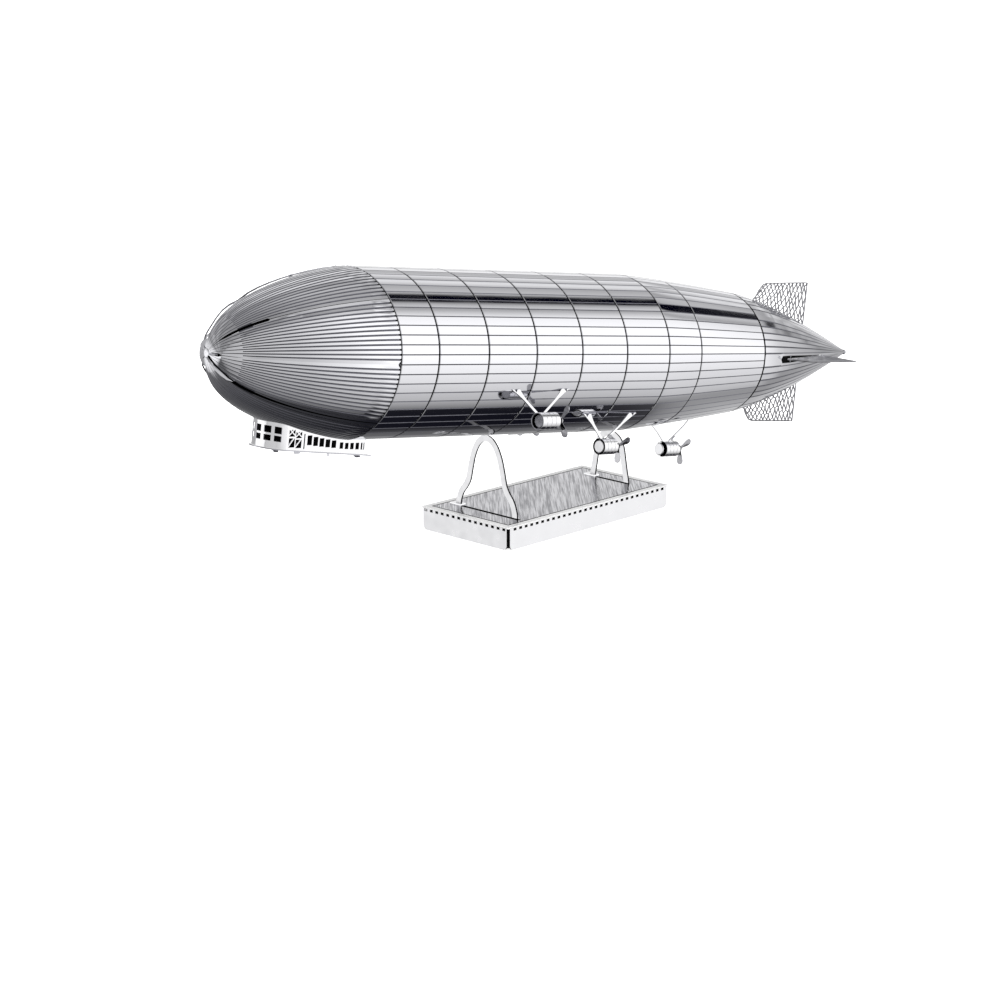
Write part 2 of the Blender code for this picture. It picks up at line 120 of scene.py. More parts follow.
def assign(piece, number):
    """Gives the selected faces one of the finishes that the piece wears."""
    piece.active_material_index = number
    bpy.ops.object.material_slot_assign()


def face_out():
    """Turns all faces of the open mesh the same way, outwards."""
    bpy.ops.mesh.select_all(action="SELECT")
    bpy.ops.mesh.normals_make_consistent(inside=False)


def weld():
    """Merges the doubled corners of the open mesh."""
    bpy.ops.mesh.select_all(action="SELECT")
    bpy.ops.mesh.remove_doubles(threshold=1e-7)


def drag(offset):
    """Moves what is selected by an offset in millimetres."""
    bpy.ops.transform.translate(value=Vector(offset) * MM)


def close_edit():
    """Leaves edit mode, with nothing selected."""
    if bpy.context.mode == "EDIT_MESH":
        bpy.ops.object.mode_set(mode="OBJECT")
    bpy.ops.object.select_all(action="DESELECT")


def polyline(name, points):
    """A chain of edges through the points, drawn corner by corner."""
    close_edit()
    bpy.ops.mesh.primitive_plane_add(size=MM, location=Vector(points[0]) * MM)
    bpy.ops.object.transform_apply()
    piece = edit(name)
    bpy.ops.mesh.select_mode(type="VERT")
    bpy.ops.mesh.select_all(action="SELECT")
    bpy.ops.mesh.merge(type="CENTER")
    for before, after in zip(points, points[1:]):
        step = (Vector(after) - Vector(before)) * MM
        bpy.ops.mesh.extrude_vertices_move(TRANSFORM_OT_translate={"value": step})
    return piece


def turned(name, stations, first, last, steps):
    """A sheet turned about the ship's axis from (place, radius) pairs."""
    y, z = around(first, 1.0)
    piece = polyline(name, [(s, y * radius, z * radius) for s, radius in stations])
    bpy.ops.mesh.select_all(action="SELECT")
    bpy.ops.mesh.spin(
        steps=steps, angle=math.radians(first - last), center=(0, 0, 0), axis=(1, 0, 0)
    )
    weld()
    face_out()
    return piece


def plate(name, outline):
    """A flat face inside a closed outline."""
    piece = polyline(name, [*outline, outline[0]])
    weld()
    bpy.ops.mesh.edge_face_add()
    return piece


def block(low, high):
    """A box between two corners, for the openings and the small foot plates."""
    size = [b - a for a, b in zip(low, high)]
    middle = [0.5 * (a + b) for a, b in zip(low, high)]
    close_edit()
    bpy.ops.mesh.primitive_cube_add(size=1.0, location=Vector(middle) * MM)
    cutter = bpy.context.object
    cutter.scale = Vector(size) * MM
    bpy.ops.object.transform_apply()
    return cutter


def join(pieces, name):
    """Several pieces as one, in the place of the first."""
    close_edit()
    for piece in pieces:
        piece.select_set(True)
    bpy.context.view_layer.objects.active = pieces[0]
    bpy.ops.object.join()
    pieces[0].name = pieces[0].data.name = name
    return pieces[0]


def cut(piece, cutters):
    """Cuts the openings out of a piece, gives their cut walls the black painted shade, and clears
    the cutters away.
    """
    tool = join(cutters, "opening_cutter")
    # The cutter wears the black painted shade, which passes to the walls of each opening
    wear(tool, shade_finish)
    bpy.context.view_layer.objects.active = piece
    hole = piece.modifiers.new("openings", "BOOLEAN")
    hole.operation = "DIFFERENCE"
    hole.solver = "EXACT"
    hole.object = tool
    bpy.ops.object.modifier_apply(modifier="openings")
    bpy.data.objects.remove(tool, do_unlink=True)


def thicken(piece, thickness=SHEET, offset=-1.0, rim=0, back=0):
    """Gives the sheet just drawn its thickness; its rim and back may wear other finishes."""
    bpy.ops.object.mode_set(mode="OBJECT")
    sheet = piece.modifiers.new("sheet", "SOLIDIFY")
    sheet.thickness = thickness * MM
    sheet.offset = offset
    sheet.material_offset = back
    sheet.material_offset_rim = rim
    bpy.ops.object.modifier_apply(modifier="sheet")


def flat_sheet(name, outline, finishes, thickness, rim=0):
    """A flat sheet inside an outline, with its finishes and its thickness."""
    piece = plate(name, outline)
    wear(piece, *finishes)
    thicken(piece, thickness, 0.0, rim=rim)
    return piece


def settle(piece, place):
    """Moves the piece by a matrix, and applies its place to its mesh."""
    close_edit()
    piece.select_set(True)
    bpy.context.view_layer.objects.active = piece
    piece.matrix_world = place @ piece.matrix_world
    bpy.ops.object.transform_apply()


def wear(piece, *finishes):
    """Gives the piece its finishes, the first for its faces."""
    for finish in finishes:
        piece.data.materials.append(finish)


def finish_piece(piece, nodes=(), body="airship", on_ship=True, smooth=20.0):
    """Sets the piece in its place, smooths it and hands it to its body."""
    settle(piece, SHIP if on_ship else Matrix.Identity(4))
    bpy.ops.object.shade_smooth_by_angle(angle=math.radians(smooth))
    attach(piece, body)
    if nodes:
        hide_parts(*nodes)


# Materials


def colour(code):
    """An sRGB hex colour as linear values."""
    parts = [int(code[i : i + 2], 16) / 255.0 for i in (1, 3, 5)]
    linear = [c / 12.92 if c <= 0.04045 else ((c + 0.055) / 1.055) ** 2.4 for c in parts]
    return (*linear, 1.0)


def add(tree, kind, settings=(), links=()):
    """Adds a node with its settings and the links into it."""
    node = tree.nodes.new(kind)
    for key, value in dict(settings).items():
        if isinstance(key, int) or key in node.inputs:
            node.inputs[key].default_value = value
        else:
            setattr(node, key, value)
    for key, source in dict(links).items():
        tree.links.new(source, node.inputs[key])
    return node


def metal(name, code, roughness, metallic=1.0):
    """A bare metal with its shader and its place along the ship ready for patterns."""
    material = bpy.data.materials.new(name)
    material.use_nodes = True
    tree = material.node_tree
    shader = tree.nodes["Principled BSDF"]
    shader.inputs["Base Color"].default_value = colour(code)
    shader.inputs["Metallic"].default_value = metallic
    shader.inputs["Roughness"].default_value = roughness
    place = add(tree, "ShaderNodeTexCoord").outputs["Object"]
    along = add(
        tree,
        "ShaderNodeMapping",
        {"vector_type": "TEXTURE", "Rotation": (0.0, math.radians(PITCH_DEG), 0.0)},
        {"Vector": place},
    ).outputs["Vector"]
    return material, tree, shader, along


def grain(tree, shader, along, per_mm, strength, depth, low, high):
    """Fine streaks that break up the shine, by how many of them go into a millimetre."""
    scale = [number / MM for number in per_mm]
    scaled = add(tree, "ShaderNodeMapping", {"Scale": scale}, {"Vector": along})
    streaks = add(
        tree,
        "ShaderNodeTexNoise",
        {"Scale": 1.0, "Detail": 3.0, "Roughness": 0.6},
        {"Vector": scaled.outputs["Vector"]},
    )
    rough = add(
        tree,
        "ShaderNodeMapRange",
        {"From Min": 0.3, "From Max": 0.7, "To Min": low, "To Max": high},
        {"Value": streaks.outputs["Fac"]},
    )
    tree.links.new(rough.outputs["Result"], shader.inputs["Roughness"])
    bump = add(
        tree,
        "ShaderNodeBump",
        {"Strength": strength, "Distance": depth * MM},
        {"Height": streaks.outputs["Fac"]},
    )
    tree.links.new(bump.outputs["Normal"], shader.inputs["Normal"])


def sheet_metal(name, code, roughness, per_mm, strength, depth, low, high, metallic=1.0):
    """A metal with its grain: the bump's strength and depth, its least and most roughness."""
    material, tree, shader, along = metal(name, code, roughness, metallic)
    grain(tree, shader, along, per_mm, strength, depth, low, high)
    return material


GRAIN_TURN_DEG = 44.0
STREAK_TONES = ("#7C7C82", "#D8D8DC")


def grained_sheet():
    """Brushed stainless panel on top of the stand: fine streaks run aslant over it."""
    material, tree, shader, along = metal("brushed_stand_panel", "#A2A2A6", 0.16)
    aslant = add(
        tree,
        "ShaderNodeMapping",
        {"Rotation": (0.0, 0.0, math.radians(GRAIN_TURN_DEG))},
        {"Vector": along},
    ).outputs["Vector"]
    grain(tree, shader, aslant, (2.6, 0.09, 0.09), 0.7, 0.04, 0.08, 0.22)
    scale = [number / MM for number in (3.9, 0.15, 0.15)]
    across = add(tree, "ShaderNodeMapping", {"Scale": scale}, {"Vector": aslant})
    streaks = add(
        tree,
        "ShaderNodeTexNoise",
        {"Scale": 1.0, "Detail": 2.0},
        {"Vector": across.outputs["Vector"]},
    )
    tones = add(tree, "ShaderNodeValToRGB", (), {"Fac": streaks.outputs["Fac"]})
    for element, place, code in zip(tones.color_ramp.elements, (0.36, 0.62), STREAK_TONES):
        element.position = place
        element.color = colour(code)
    tree.links.new(tones.outputs["Color"], shader.inputs["Base Color"])
    return material


# Bright-rolled stainless: mirror bands with faint streaks 11 mm long and 0.7 mm wide
skin_finish = sheet_metal(
    "bright_rolled_stainless", "#E4E4E8", 0.1, (0.09, 1.5, 1.5), 0.1, 0.008, 0.03, 0.1
)
# Half-etched stainless: the acid leaves the cut lines matt and darker
line_finish = sheet_metal(
    "half_etched_stainless", "#6E6E76", 0.4, (2.5, 2.5, 2.5), 0.3, 0.01, 0.3, 0.5
)
# Edge of the sheet, bright where the two etched faces meet
edge_finish = sheet_metal(
    "etched_through_edge", "#B8B8BE", 0.3, (3.0, 3.0, 3.0), 0.3, 0.01, 0.2, 0.4
)
# Plain etched stainless of the rings and strips, a little duller
frame_finish = sheet_metal(
    "satin_etched_stainless", "#B4B4BA", 0.22, (0.9, 0.9, 0.9), 0.2, 0.01, 0.16, 0.3
)
# Bright sheet of the small fittings: clean and nearly white, softly streaked
white_finish = sheet_metal(
    "bright_fitting_sheet", "#F2F2F4", 0.12, (0.3, 1.2, 1.2), 0.1, 0.01, 0.08, 0.18
)
# Painted shade, almost black: it stands in for the unlit inside of the folded boxes and closes
# windows and gaps
shade_finish = sheet_metal(
    "painted_shade_black", "#0A0A0C", 0.7, (0.8, 0.8, 0.8), 0.1, 0.01, 0.6, 0.8
)
# Pressed blades: pale where flat to the tent and smoky where turned away
blade_finish = sheet_metal(
    "pressed_blade_sheet", "#D2D2D6", 0.18, (0.7, 0.7, 0.7), 0.12, 0.01, 0.12, 0.26
)
# Etched wires of the fins, pale and matt from the acid
fin_finish = sheet_metal(
    "etched_fin_wire", "#C8C8CC", 0.42, (1.5, 1.5, 1.5), 0.2, 0.01, 0.32, 0.5
)
# Satin sheet of the stand, whitish with a soft sheen. Its border is etched so matt that it
# scatters light as well as mirroring it, which half a metal gives
SATIN_GRAIN = (0.3, (0.5, 0.5, 0.5), 0.08, 0.01, 0.26, 0.36)
plinth_finish = sheet_metal("satin_stand_sheet", "#F6F6F6", *SATIN_GRAIN, metallic=0.5)
side_finish = sheet_metal("satin_folded_side", "#E8E8EA", *SATIN_GRAIN)
hoop_finish = sheet_metal("satin_hoop_sheet", "#EBEBED", *SATIN_GRAIN)
grained_finish = grained_sheet()

# What each small fitting wears: its faces, painted shade for its unlit inside, and its cut edge
FITTING = (white_finish, shade_finish, edge_finish)


# Skin


def close_to(value, step, reach):
    """True where an angle lies within reach of a multiple of the step."""
    return abs((value + 0.5 * step) % step - 0.5 * step) < reach


# Ahead of each place, in millimetres, how many times wider the lines stand apart
LINES_STOP = ((0.7, 4.0), (2.6, 2.0))


def spread_step(step, s):
    """Step between the lines: alternate ones stop short of the nose, where they crowd."""
    for limit, factor in LINES_STOP:
        if s < limit:
            return step * factor
    return step


def engrave(piece, step, share, depth):
    """Bevels each line along the ship and presses its middle in, as an etched line."""

    def lengthwise(edge):
        one, two = (vertex.co for vertex in edge.verts)
        here = spread_step(step, 0.5 * (one.x + two.x) / MM)
        return abs(one.x - two.x) > 1e-6 and close_to(angle_of(one), here, 0.3)

    pick(piece, "EDGE", lengthwise)
    bpy.ops.mesh.bevel(offset_type="PERCENT", offset_pct=share, segments=2, affect="EDGES")

    def in_line(vertex):
        here = spread_step(step, vertex.co.x / MM)
        return close_to(angle_of(vertex.co), here, 0.02)

    pick(piece, "VERT", in_line)
    bpy.ops.transform.shrink_fatten(value=-depth * MM)


def etch_lines(piece, step, reach):
    """Gives the etched finish to the faces on both sides of each line."""

    def beside(face):
        middle = face.calc_center_median()
        radius = math.hypot(middle.y, middle.z) / MM
        return close_to(angle_of(middle), step, math.degrees(reach / radius))

    pick(piece, "FACE", beside)
    assign(piece, 1)


# Lines of the bays: their share of a strip, their depth and half their etched width
LINE_SHARE, LINE_DEPTH, LINE_REACH = 12.0, 0.08, 0.14
NOSE_LINE_SHARE, NOSE_LINE_DEPTH, TAIL_LINE_DEPTH = 21.0, 0.07, 0.06
SEAM_DROP = 0.07
# Steps round a bay, two to a strip
BAY_STEPS = 60


def skin_panel(number, fore, aft):
    """One skinned bay between two seams, its strips parted by etched lines."""
    ends = (0.0, 0.12, 0.35)
    rear = aft - SEAM
    places = [fore + e for e in ends] + [rear - e for e in reversed(ends)]
    if aft > PARALLEL_END:
        middles = [fore + (rear - fore) * k / 5.0 for k in (1, 2, 3, 4)]
        places = sorted(places + middles)
    drop = {0: SEAM_DROP, len(places) - 1: SEAM_DROP}
    stations = [(s, hull_radius(s) - drop.get(i, 0.0)) for i, s in enumerate(places)]
    piece = turned(f"skin_bay_{number}", stations, -STRIP_DEG, 180.0 + STRIP_DEG, BAY_STEPS)
    wear(piece, skin_finish, line_finish, shade_finish)
    engrave(piece, STRIP_DEG, LINE_SHARE, LINE_DEPTH)
    etch_lines(piece, STRIP_DEG, LINE_REACH)
    # Its cut rims wear the black painted shade, so the seams between the bays show dark
    thicken(piece, rim=2)
    panels = [f"skin_panel_{number}"]
    if aft == TAIL_START:
        panels.append(f"skin_panel_{number + 1}")
    finish_piece(piece, panels)


def open_seam(piece, angle, side, widths):
    """Draws one long edge of a gore back from its neighbour, by a width at each place."""
    way = Vector((0.0, *around(angle + 90.0 * side, 1.0)))
    for s, width in widths:

        def here(vertex):
            at_edge = abs(angle_of(vertex.co) - angle) < 0.05
            return at_edge and abs(vertex.co.x / MM - s) < 0.01

        pick(piece, "VERT", here)
        drag(way * width)


def seam_width(knots, s):
    """Width of a gap at a place s, straight between the knots."""
    for (s0, w0), (s1, w1) in zip(knots, knots[1:]):
        if s0 <= s <= s1:
            return w0 + (w1 - w0) * (s - s0) / (s1 - s0)
    return knots[-1][1]


GAP_END = 7.0
# Width of each gap between the gores at places behind the nose, by the gap's angle
NOSE_GAPS = {
    45.0: (
        (0.0, 0.02), (0.6, 0.06), (1.3, 0.22), (GAP_END, 0.26), (GAP_END + 0.3, 0.06),
        (29.2, 0.05),
    ),
    90.0: (
        (0.0, 0.02), (0.1, 0.24), (0.42, 0.26), (0.6, 0.05), (2.4, 0.03), (2.8, 0.0),
        (29.2, 0.0),
    ),
    135.0: ((0.0, 0.2), (0.8, 0.34), (4.0, 0.28), (12.0, 0.18), (29.2, 0.09)),
}
TAIL_GAPS = {
    45.0: ((128.0, 0.0), (170.0, 0.03)),
    90.0: (
        (128.0, 0.0), (134.3, 0.0), (134.9, 0.7), (138.0, 0.7), (154.0, 0.2), (156.0, 0.0),
        (170.0, 0.0),
    ),
    135.0: ((128.0, 0.0), (170.0, 0.03)),
}
TAIL_END = 169.3
GORES = (
    ("top", -STRIP_DEG, 45.0),
    ("upper", 45.0, 90.0),
    ("lower", 90.0, 135.0),
    ("bottom", 135.0, 180.0 + STRIP_DEG),
)


def gore(name, places, first, last, step, gaps, share, depth):
    """One of the long tapering pieces of the nose or the tail."""
    stations = [(s, hull_radius(s)) for s in places]
    steps = round((last - first) / step)
    piece = turned(name, stations, first, last, steps)
    # The third finish is the black painted shade, which the cut rims wear once the gore is
    # thickened
    wear(piece, skin_finish, line_finish, shade_finish)
    for angle, side in ((first, 1.0), (last, -1.0)):
        if angle in gaps:
            widths = [(s, seam_width(gaps[angle], s)) for s in places]
            open_seam(piece, angle, side, widths)
    engrave(piece, step, share, depth)
    # The share is in hundredths of the step, and the finish reaches a little past it
    reach_deg = 1.15 * 0.01 * share * step

    def beside(face):
        middle = face.calc_center_median()
        return close_to(angle_of(middle), spread_step(step, middle.x / MM), reach_deg)

    pick(piece, "FACE", beside)
    assign(piece, 1)
    return piece


def nose_gores():
    """The four gores of the nose, finely lined, with corners at the ends of their gaps."""
    count, tip = 22, 0.02
    places = [tip + (NOSE_END - SEAM - tip) * (i / count) ** 1.6 for i in range(count + 1)]
    places += [GAP_END + 0.01, GAP_END + 0.31, 0.1, 0.42, 0.6]
    places.sort()
    step = 0.5 * STRIP_DEG
    for name, first, last in GORES:
        lines = (NOSE_GAPS, NOSE_LINE_SHARE, NOSE_LINE_DEPTH)
        piece = gore(f"nose_skin_{name}", places, first, last, step, *lines)
        end = places[-1] * MM

        def line_end(vertex):
            return abs(vertex.co.x - end) < 1e-5 and close_to(angle_of(vertex.co), step, 0.05)

        pick(piece, "VERT", line_end)
        drag((-0.55, 0.0, 0.0))
        # Its cut rims wear the black painted shade, so the gaps show dark
        thicken(piece, rim=2)
        finish_piece(piece, [f"nose_gore_{name}"])


def tail_gores():
    """The four gores of the tail."""
    count = 16
    front = TAIL_START + 0.12
    places = [front + (TAIL_END - front) * i / count for i in range(count + 1)]
    places += [134.31, 134.9, 138.0]
    places.sort()
    for name, first, last in GORES:
        lines = (TAIL_GAPS, LINE_SHARE, TAIL_LINE_DEPTH)
        piece = gore(f"tail_skin_{name}", places, first, last, STRIP_DEG, *lines)
        # Its cut rims wear the black painted shade, so the gaps show dark
        thicken(piece, rim=2)
        finish_piece(piece, [f"tail_gore_{name}"])


# Frame

# How far a ring lies under the skin's outside, its width as a share of the hull's radius,
# and its thickness
RING_DEPTH, RING_SHARE, RING_SHEET = 0.45, 0.2, 0.2
TOOTH_PITCH_DEG, TOOTH_HALF_DEG, TOOTH_RISE = 12.857, 1.7, 0.2
TAB_HALF_DEG, TAB_RISE = 1.4, 0.5


def edge_place(edge):
    """An edge's least distance from the ship's axis and the angle of its middle."""
    one, two = (vertex.co for vertex in edge.verts)
    least = min(math.hypot(point.y, point.z) for point in (one, two)) / MM
    return least, angle_of(0.5 * (one + two))


def ring(number, place):
    """A flat ring with small teeth under the skin and tabs through the strips."""
    outer = hull_radius(place) - RING_DEPTH
    inner = outer - RING_SHARE * hull_radius(place)
    middle = ((place - 0.05) * MM, 0.0, 0.0)
    bpy.ops.object.select_all(action="DESELECT")
    bpy.ops.mesh.primitive_circle_add(
        vertices=112, radius=outer * MM, location=middle, rotation=(0.0, 0.5 * math.pi, 0.0)
    )
    bpy.ops.object.transform_apply()
    piece = edit(f"ring_{number:02d}")
    wear(piece, frame_finish, edge_finish)
    bpy.ops.mesh.select_all(action="SELECT")
    bpy.ops.mesh.extrude_edges_move()
    share = inner / outer
    bpy.ops.transform.resize(value=(1.0, share, share), center_override=middle)

    def at_tooth(edge):
        least, angle = edge_place(edge)
        under_skin = least > outer - 0.01 and 0.0 < angle < 180.0
        return under_skin and close_to(angle, TOOTH_PITCH_DEG, TOOTH_HALF_DEG)

    def at_tab(edge):
        least, angle = edge_place(edge)
        nearest = min(abs((angle - other + 180.0) % 360.0 - 180.0) for other in STRINGER_ANGLES)
        return least > outer - 0.01 and nearest < TAB_HALF_DEG

    for test, rise in ((at_tooth, TOOTH_RISE), (at_tab, TAB_RISE)):
        pick(piece, "EDGE", test)
        bpy.ops.mesh.extrude_edges_move()
        grow = (outer + rise) / outer
        bpy.ops.transform.resize(value=(1.0, grow, grow), center_override=middle)
    face_out()
    thicken(piece, RING_SHEET, 0.0, rim=1)
    finish_piece(piece, [f"ring_frame_{number:02d}"])


STRIP_HALF_TURN_DEG = 0.9
# The strips dip under the disc at the nose: how far, about which place and over what length
DIP, DIP_PLACE, DIP_LENGTH = 1.2, 3.0, 4.0


def stringers():
    """Six strips along the open side, bent over the rings."""
    nose = [0.12 + (NOSE_END - 0.12) * (i / 14.0) ** 1.6 for i in range(15)]
    tail = [PARALLEL_END + (TAIL_END - PARALLEL_END) * i / 16.0 for i in range(17)]
    stations = [
        (s, hull_radius(s) - DIP * math.exp(-((s - DIP_PLACE) / DIP_LENGTH) ** 2)) for s in nose
    ]
    stations += [(s, hull_radius(s)) for s in tail]
    half = STRIP_HALF_TURN_DEG
    for number, angle in enumerate(STRINGER_ANGLES, start=1):
        piece = turned(f"long_strip_{number}", stations, angle - half, angle + half, 2)
        wear(piece, frame_finish, edge_finish)
        thicken(piece, rim=1)
        finish_piece(piece, [f"stringer_{number}"])


def nose_button():
    """Small toothed disc that gathers the gores and strips at the nose."""
    stations = ((0.02, 0.05), (0.0, 0.5), (0.05, 0.68), (0.42, 0.9), (0.5, 1.85))
    piece = turned("nose_disc", stations, 0.0, 360.0, 28)
    wear(piece, skin_finish, edge_finish)

    def at_rim(edge):
        least, angle = edge_place(edge)
        return least > 1.8 and close_to(angle, 360.0 / 14.0, 7.0)

    pick(piece, "EDGE", at_rim)
    bpy.ops.mesh.extrude_edges_move(TRANSFORM_OT_translate={"value": (0.16 * MM, 0.0, 0.0)})
    bpy.ops.transform.resize(value=(1.0, 1.25, 1.25), center_override=(0.66 * MM, 0.0, 0.0))
    thicken(piece, 0.1, -1.0, rim=1)
    finish_piece(piece, ["nose_cap"])


def tail_button():
    """Point of the tail, where the strips are gathered."""
    stations = ((168.9, 0.5), (169.1, 0.56), (169.5, 0.42), (170.0, 0.16))
    piece = turned("tail_point", stations, 0.0, 360.0, 20)
    wear(piece, skin_finish, edge_finish)
    thicken(piece, 0.12, -1.0, rim=1)
    finish_piece(piece, ["tail_cap"])


# How far the strips of painted shade lie under the skin's outside, under the gaps and under the
# seams
GAP_DEPTH, SEAM_DEPTH = 0.42, 0.33


def painted_shade_backings():
    """Narrow strips of painted shade under the gaps of the nose and under the seams of the skin:
    dark sheets where the ship shows only shadow.
    """
    backings = []
    for angle, last in ((40.0, 28.5), (85.0, 9.0), (130.0, 28.5)):
        places = [0.5 + (last - 0.5) * (i / 12.0) ** 1.5 for i in range(13)]
        backings.append((places, GAP_DEPTH, angle, angle + 10.0, 4))
    backings.append(((133.8, 138.0, 142.0, 146.0, 150.0, 154.0), GAP_DEPTH, 84.0, 96.0, 4))
    for seam in SKIN_SEAMS:
        places = (seam - 0.35, seam + 0.2)
        backings.append((places, SEAM_DEPTH, -STRIP_DEG, 180.0 + STRIP_DEG, BAY_STEPS))
    pieces = []
    for places, depth, first, last, steps in backings:
        stations = [(s, hull_radius(s) - depth) for s in places]
        backing = turned("backing", stations, first, last, steps)
        wear(backing, shade_finish)
        pieces.append(backing)
    finish_piece(join(pieces, "painted_shade_backing"))


for number in range(1, len(SKIN_SEAMS)):
    skin_panel(number, SKIN_SEAMS[number - 1], SKIN_SEAMS[number])
nose_gores()
painted_shade_backings()
tail_gores()
for number, place in enumerate(sorted((*SKIN_SEAMS, *EXTRA_RINGS)), start=1):
    ring(number, place)
stringers()
nose_button()
tail_button()


# Control car

CAR_NOSE_LENGTH, CAR_NOSE_REAR = 3.2, 15.6
CAR_FRONT, CAR_REAR = CAR_NOSE_REAR - CAR_NOSE_LENGTH, 33.3
CAR_HALF_WIDTH = 3.5
CAR_FLOOR_FRONT_Z, CAR_FLOOR_REAR_Z = -15.2, -16.7
CAR_TOP_GAP = 0.02
CAR_SHEET, FLOOR_SHEET, PAINTED_SHADE_SHEET = 0.2, 0.22, 0.05
# How far the dark sheets of painted shade stand inside the walls, and clear of the floor and the
# hull
PAINTED_SHADE_INSET, PAINTED_SHADE_CLEAR = 0.4, 0.1
NOSE_WINDOW_TURNS = (-60.0, -30.0, 0.0, 30.0, 60.0)
NOSE_WINDOW_HALF_DEG = 10.5
NOSE_ROWS = (0.0, 0.27, 0.50, 0.58, 0.85, 1.0)
SIDE_WINDOWS = (
    # first place, count, pitch, width, low and high share of the wall's height
    (15.95, 2, 1.5, 1.3, 0.12, 0.53),
    (15.95, 2, 1.5, 1.3, 0.60, 0.9),
    (20.0, 5, 1.36, 1.03, 0.33, 0.87),
    (27.3, 5, 1.20, 0.78, 0.32, 0.80),
)
BRACE_HALF_WIDTH, BRACE_SHEET, TAB_SHEET = 0.09, 0.16, 0.14
FLOOR_TABS = (
    # place, Y, length, drop, how far it is turned outwards
    (13.6, -2.2, 1.3, 0.42, 0.5),
    (17.6, -3.2, 1.5, 0.50, 0.0),
    (24.9, -3.3, 0.4, 0.60, 0.1),
    (31.0, -2.9, 1.5, 0.45, 0.6),
)


def car_floor_z(s):
    """Height of the car's floor, which slopes a little down to the rear."""
    share = (s - CAR_FRONT) / (CAR_REAR - CAR_FRONT)
    return CAR_FLOOR_FRONT_Z + share * (CAR_FLOOR_REAR_Z - CAR_FLOOR_FRONT_Z)


def car_room(s, y):
    """Height of the car's wall between its floor and the hull's underside."""
    return -math.sqrt(hull_radius(s) ** 2 - y**2) - CAR_TOP_GAP - car_floor_z(s)


def car_nose_point(turn_deg, beyond=0.0):
    """Place and Y on the half oval of the car's nose, or a little beyond it."""
    turn = math.radians(turn_deg)
    s = CAR_NOSE_REAR - (CAR_NOSE_LENGTH + beyond) * math.cos(turn)
    return s, (CAR_HALF_WIDTH + beyond) * math.sin(turn)


def car_nose():
    """Rolled nose of the car with two rows of windows."""
    edges = [-90.0]
    for turn in NOSE_WINDOW_TURNS:
        edges += [turn - NOSE_WINDOW_HALF_DEG, turn, turn + NOSE_WINDOW_HALF_DEG]
    edges.append(90.0)
    spots = [car_nose_point(turn) for turn in edges]
    piece = polyline("car_nose_wall", [(s, y, car_floor_z(s)) for s, y in spots])
    wear(piece, *FITTING)
    for row in range(1, len(NOSE_ROWS)):
        bpy.ops.mesh.select_mode(type="EDGE")
        if row == 1:
            bpy.ops.mesh.select_all(action="SELECT")
        bpy.ops.mesh.extrude_edges_move(TRANSFORM_OT_translate={"value": (0.0, 0.0, MM)})
    for row, level in enumerate(NOSE_ROWS):
        for s, y in spots:
            stands = car_floor_z(s) + row

            def here(vertex):
                return (vertex.co / MM - Vector((s, y, stands))).length < 0.01

            pick(piece, "VERT", here)
            drag((0.0, 0.0, level * car_room(s, y) - row))

    def window(face):
        middle = face.calc_center_median() / MM
        turn = math.degrees(
            math.atan2(middle.y / CAR_HALF_WIDTH, (CAR_NOSE_REAR - middle.x) / CAR_NOSE_LENGTH)
        )
        share = (middle.z - car_floor_z(middle.x)) / car_room(middle.x, middle.y)
        across = min(abs(turn - other) for other in NOSE_WINDOW_TURNS) < NOSE_WINDOW_HALF_DEG
        rows = NOSE_ROWS[1] < share < NOSE_ROWS[2] or NOSE_ROWS[3] < share < NOSE_ROWS[4]
        return across and rows

    pick(piece, "FACE", window)
    bpy.ops.mesh.delete(type="FACE")
    face_out()
    thicken(piece, CAR_SHEET, 0.0, rim=2)
    # A dark sheet of painted shade stands inside the rolled wall, so the windows show black
    turns = [-90.0 + 15.0 * i for i in range(13)]
    inner = [car_nose_point(turn, -PAINTED_SHADE_INSET) for turn in turns]
    painted_shade = polyline("nose_painted_shade", [(s, y, car_floor_z(s) + PAINTED_SHADE_CLEAR) for s, y in inner])
    wear(painted_shade, shade_finish)
    bpy.ops.mesh.select_all(action="SELECT")
    high = car_room(CAR_FRONT + 1.0, 0.0) - 0.2
    bpy.ops.mesh.extrude_edges_move(TRANSFORM_OT_translate={"value": (0.0, 0.0, high * MM)})
    thicken(painted_shade, PAINTED_SHADE_SHEET, 0.0)
    piece = join([piece, painted_shade], piece.name)
    finish_piece(piece, ["car_wall_front"])
    piece.visible_glossy = False


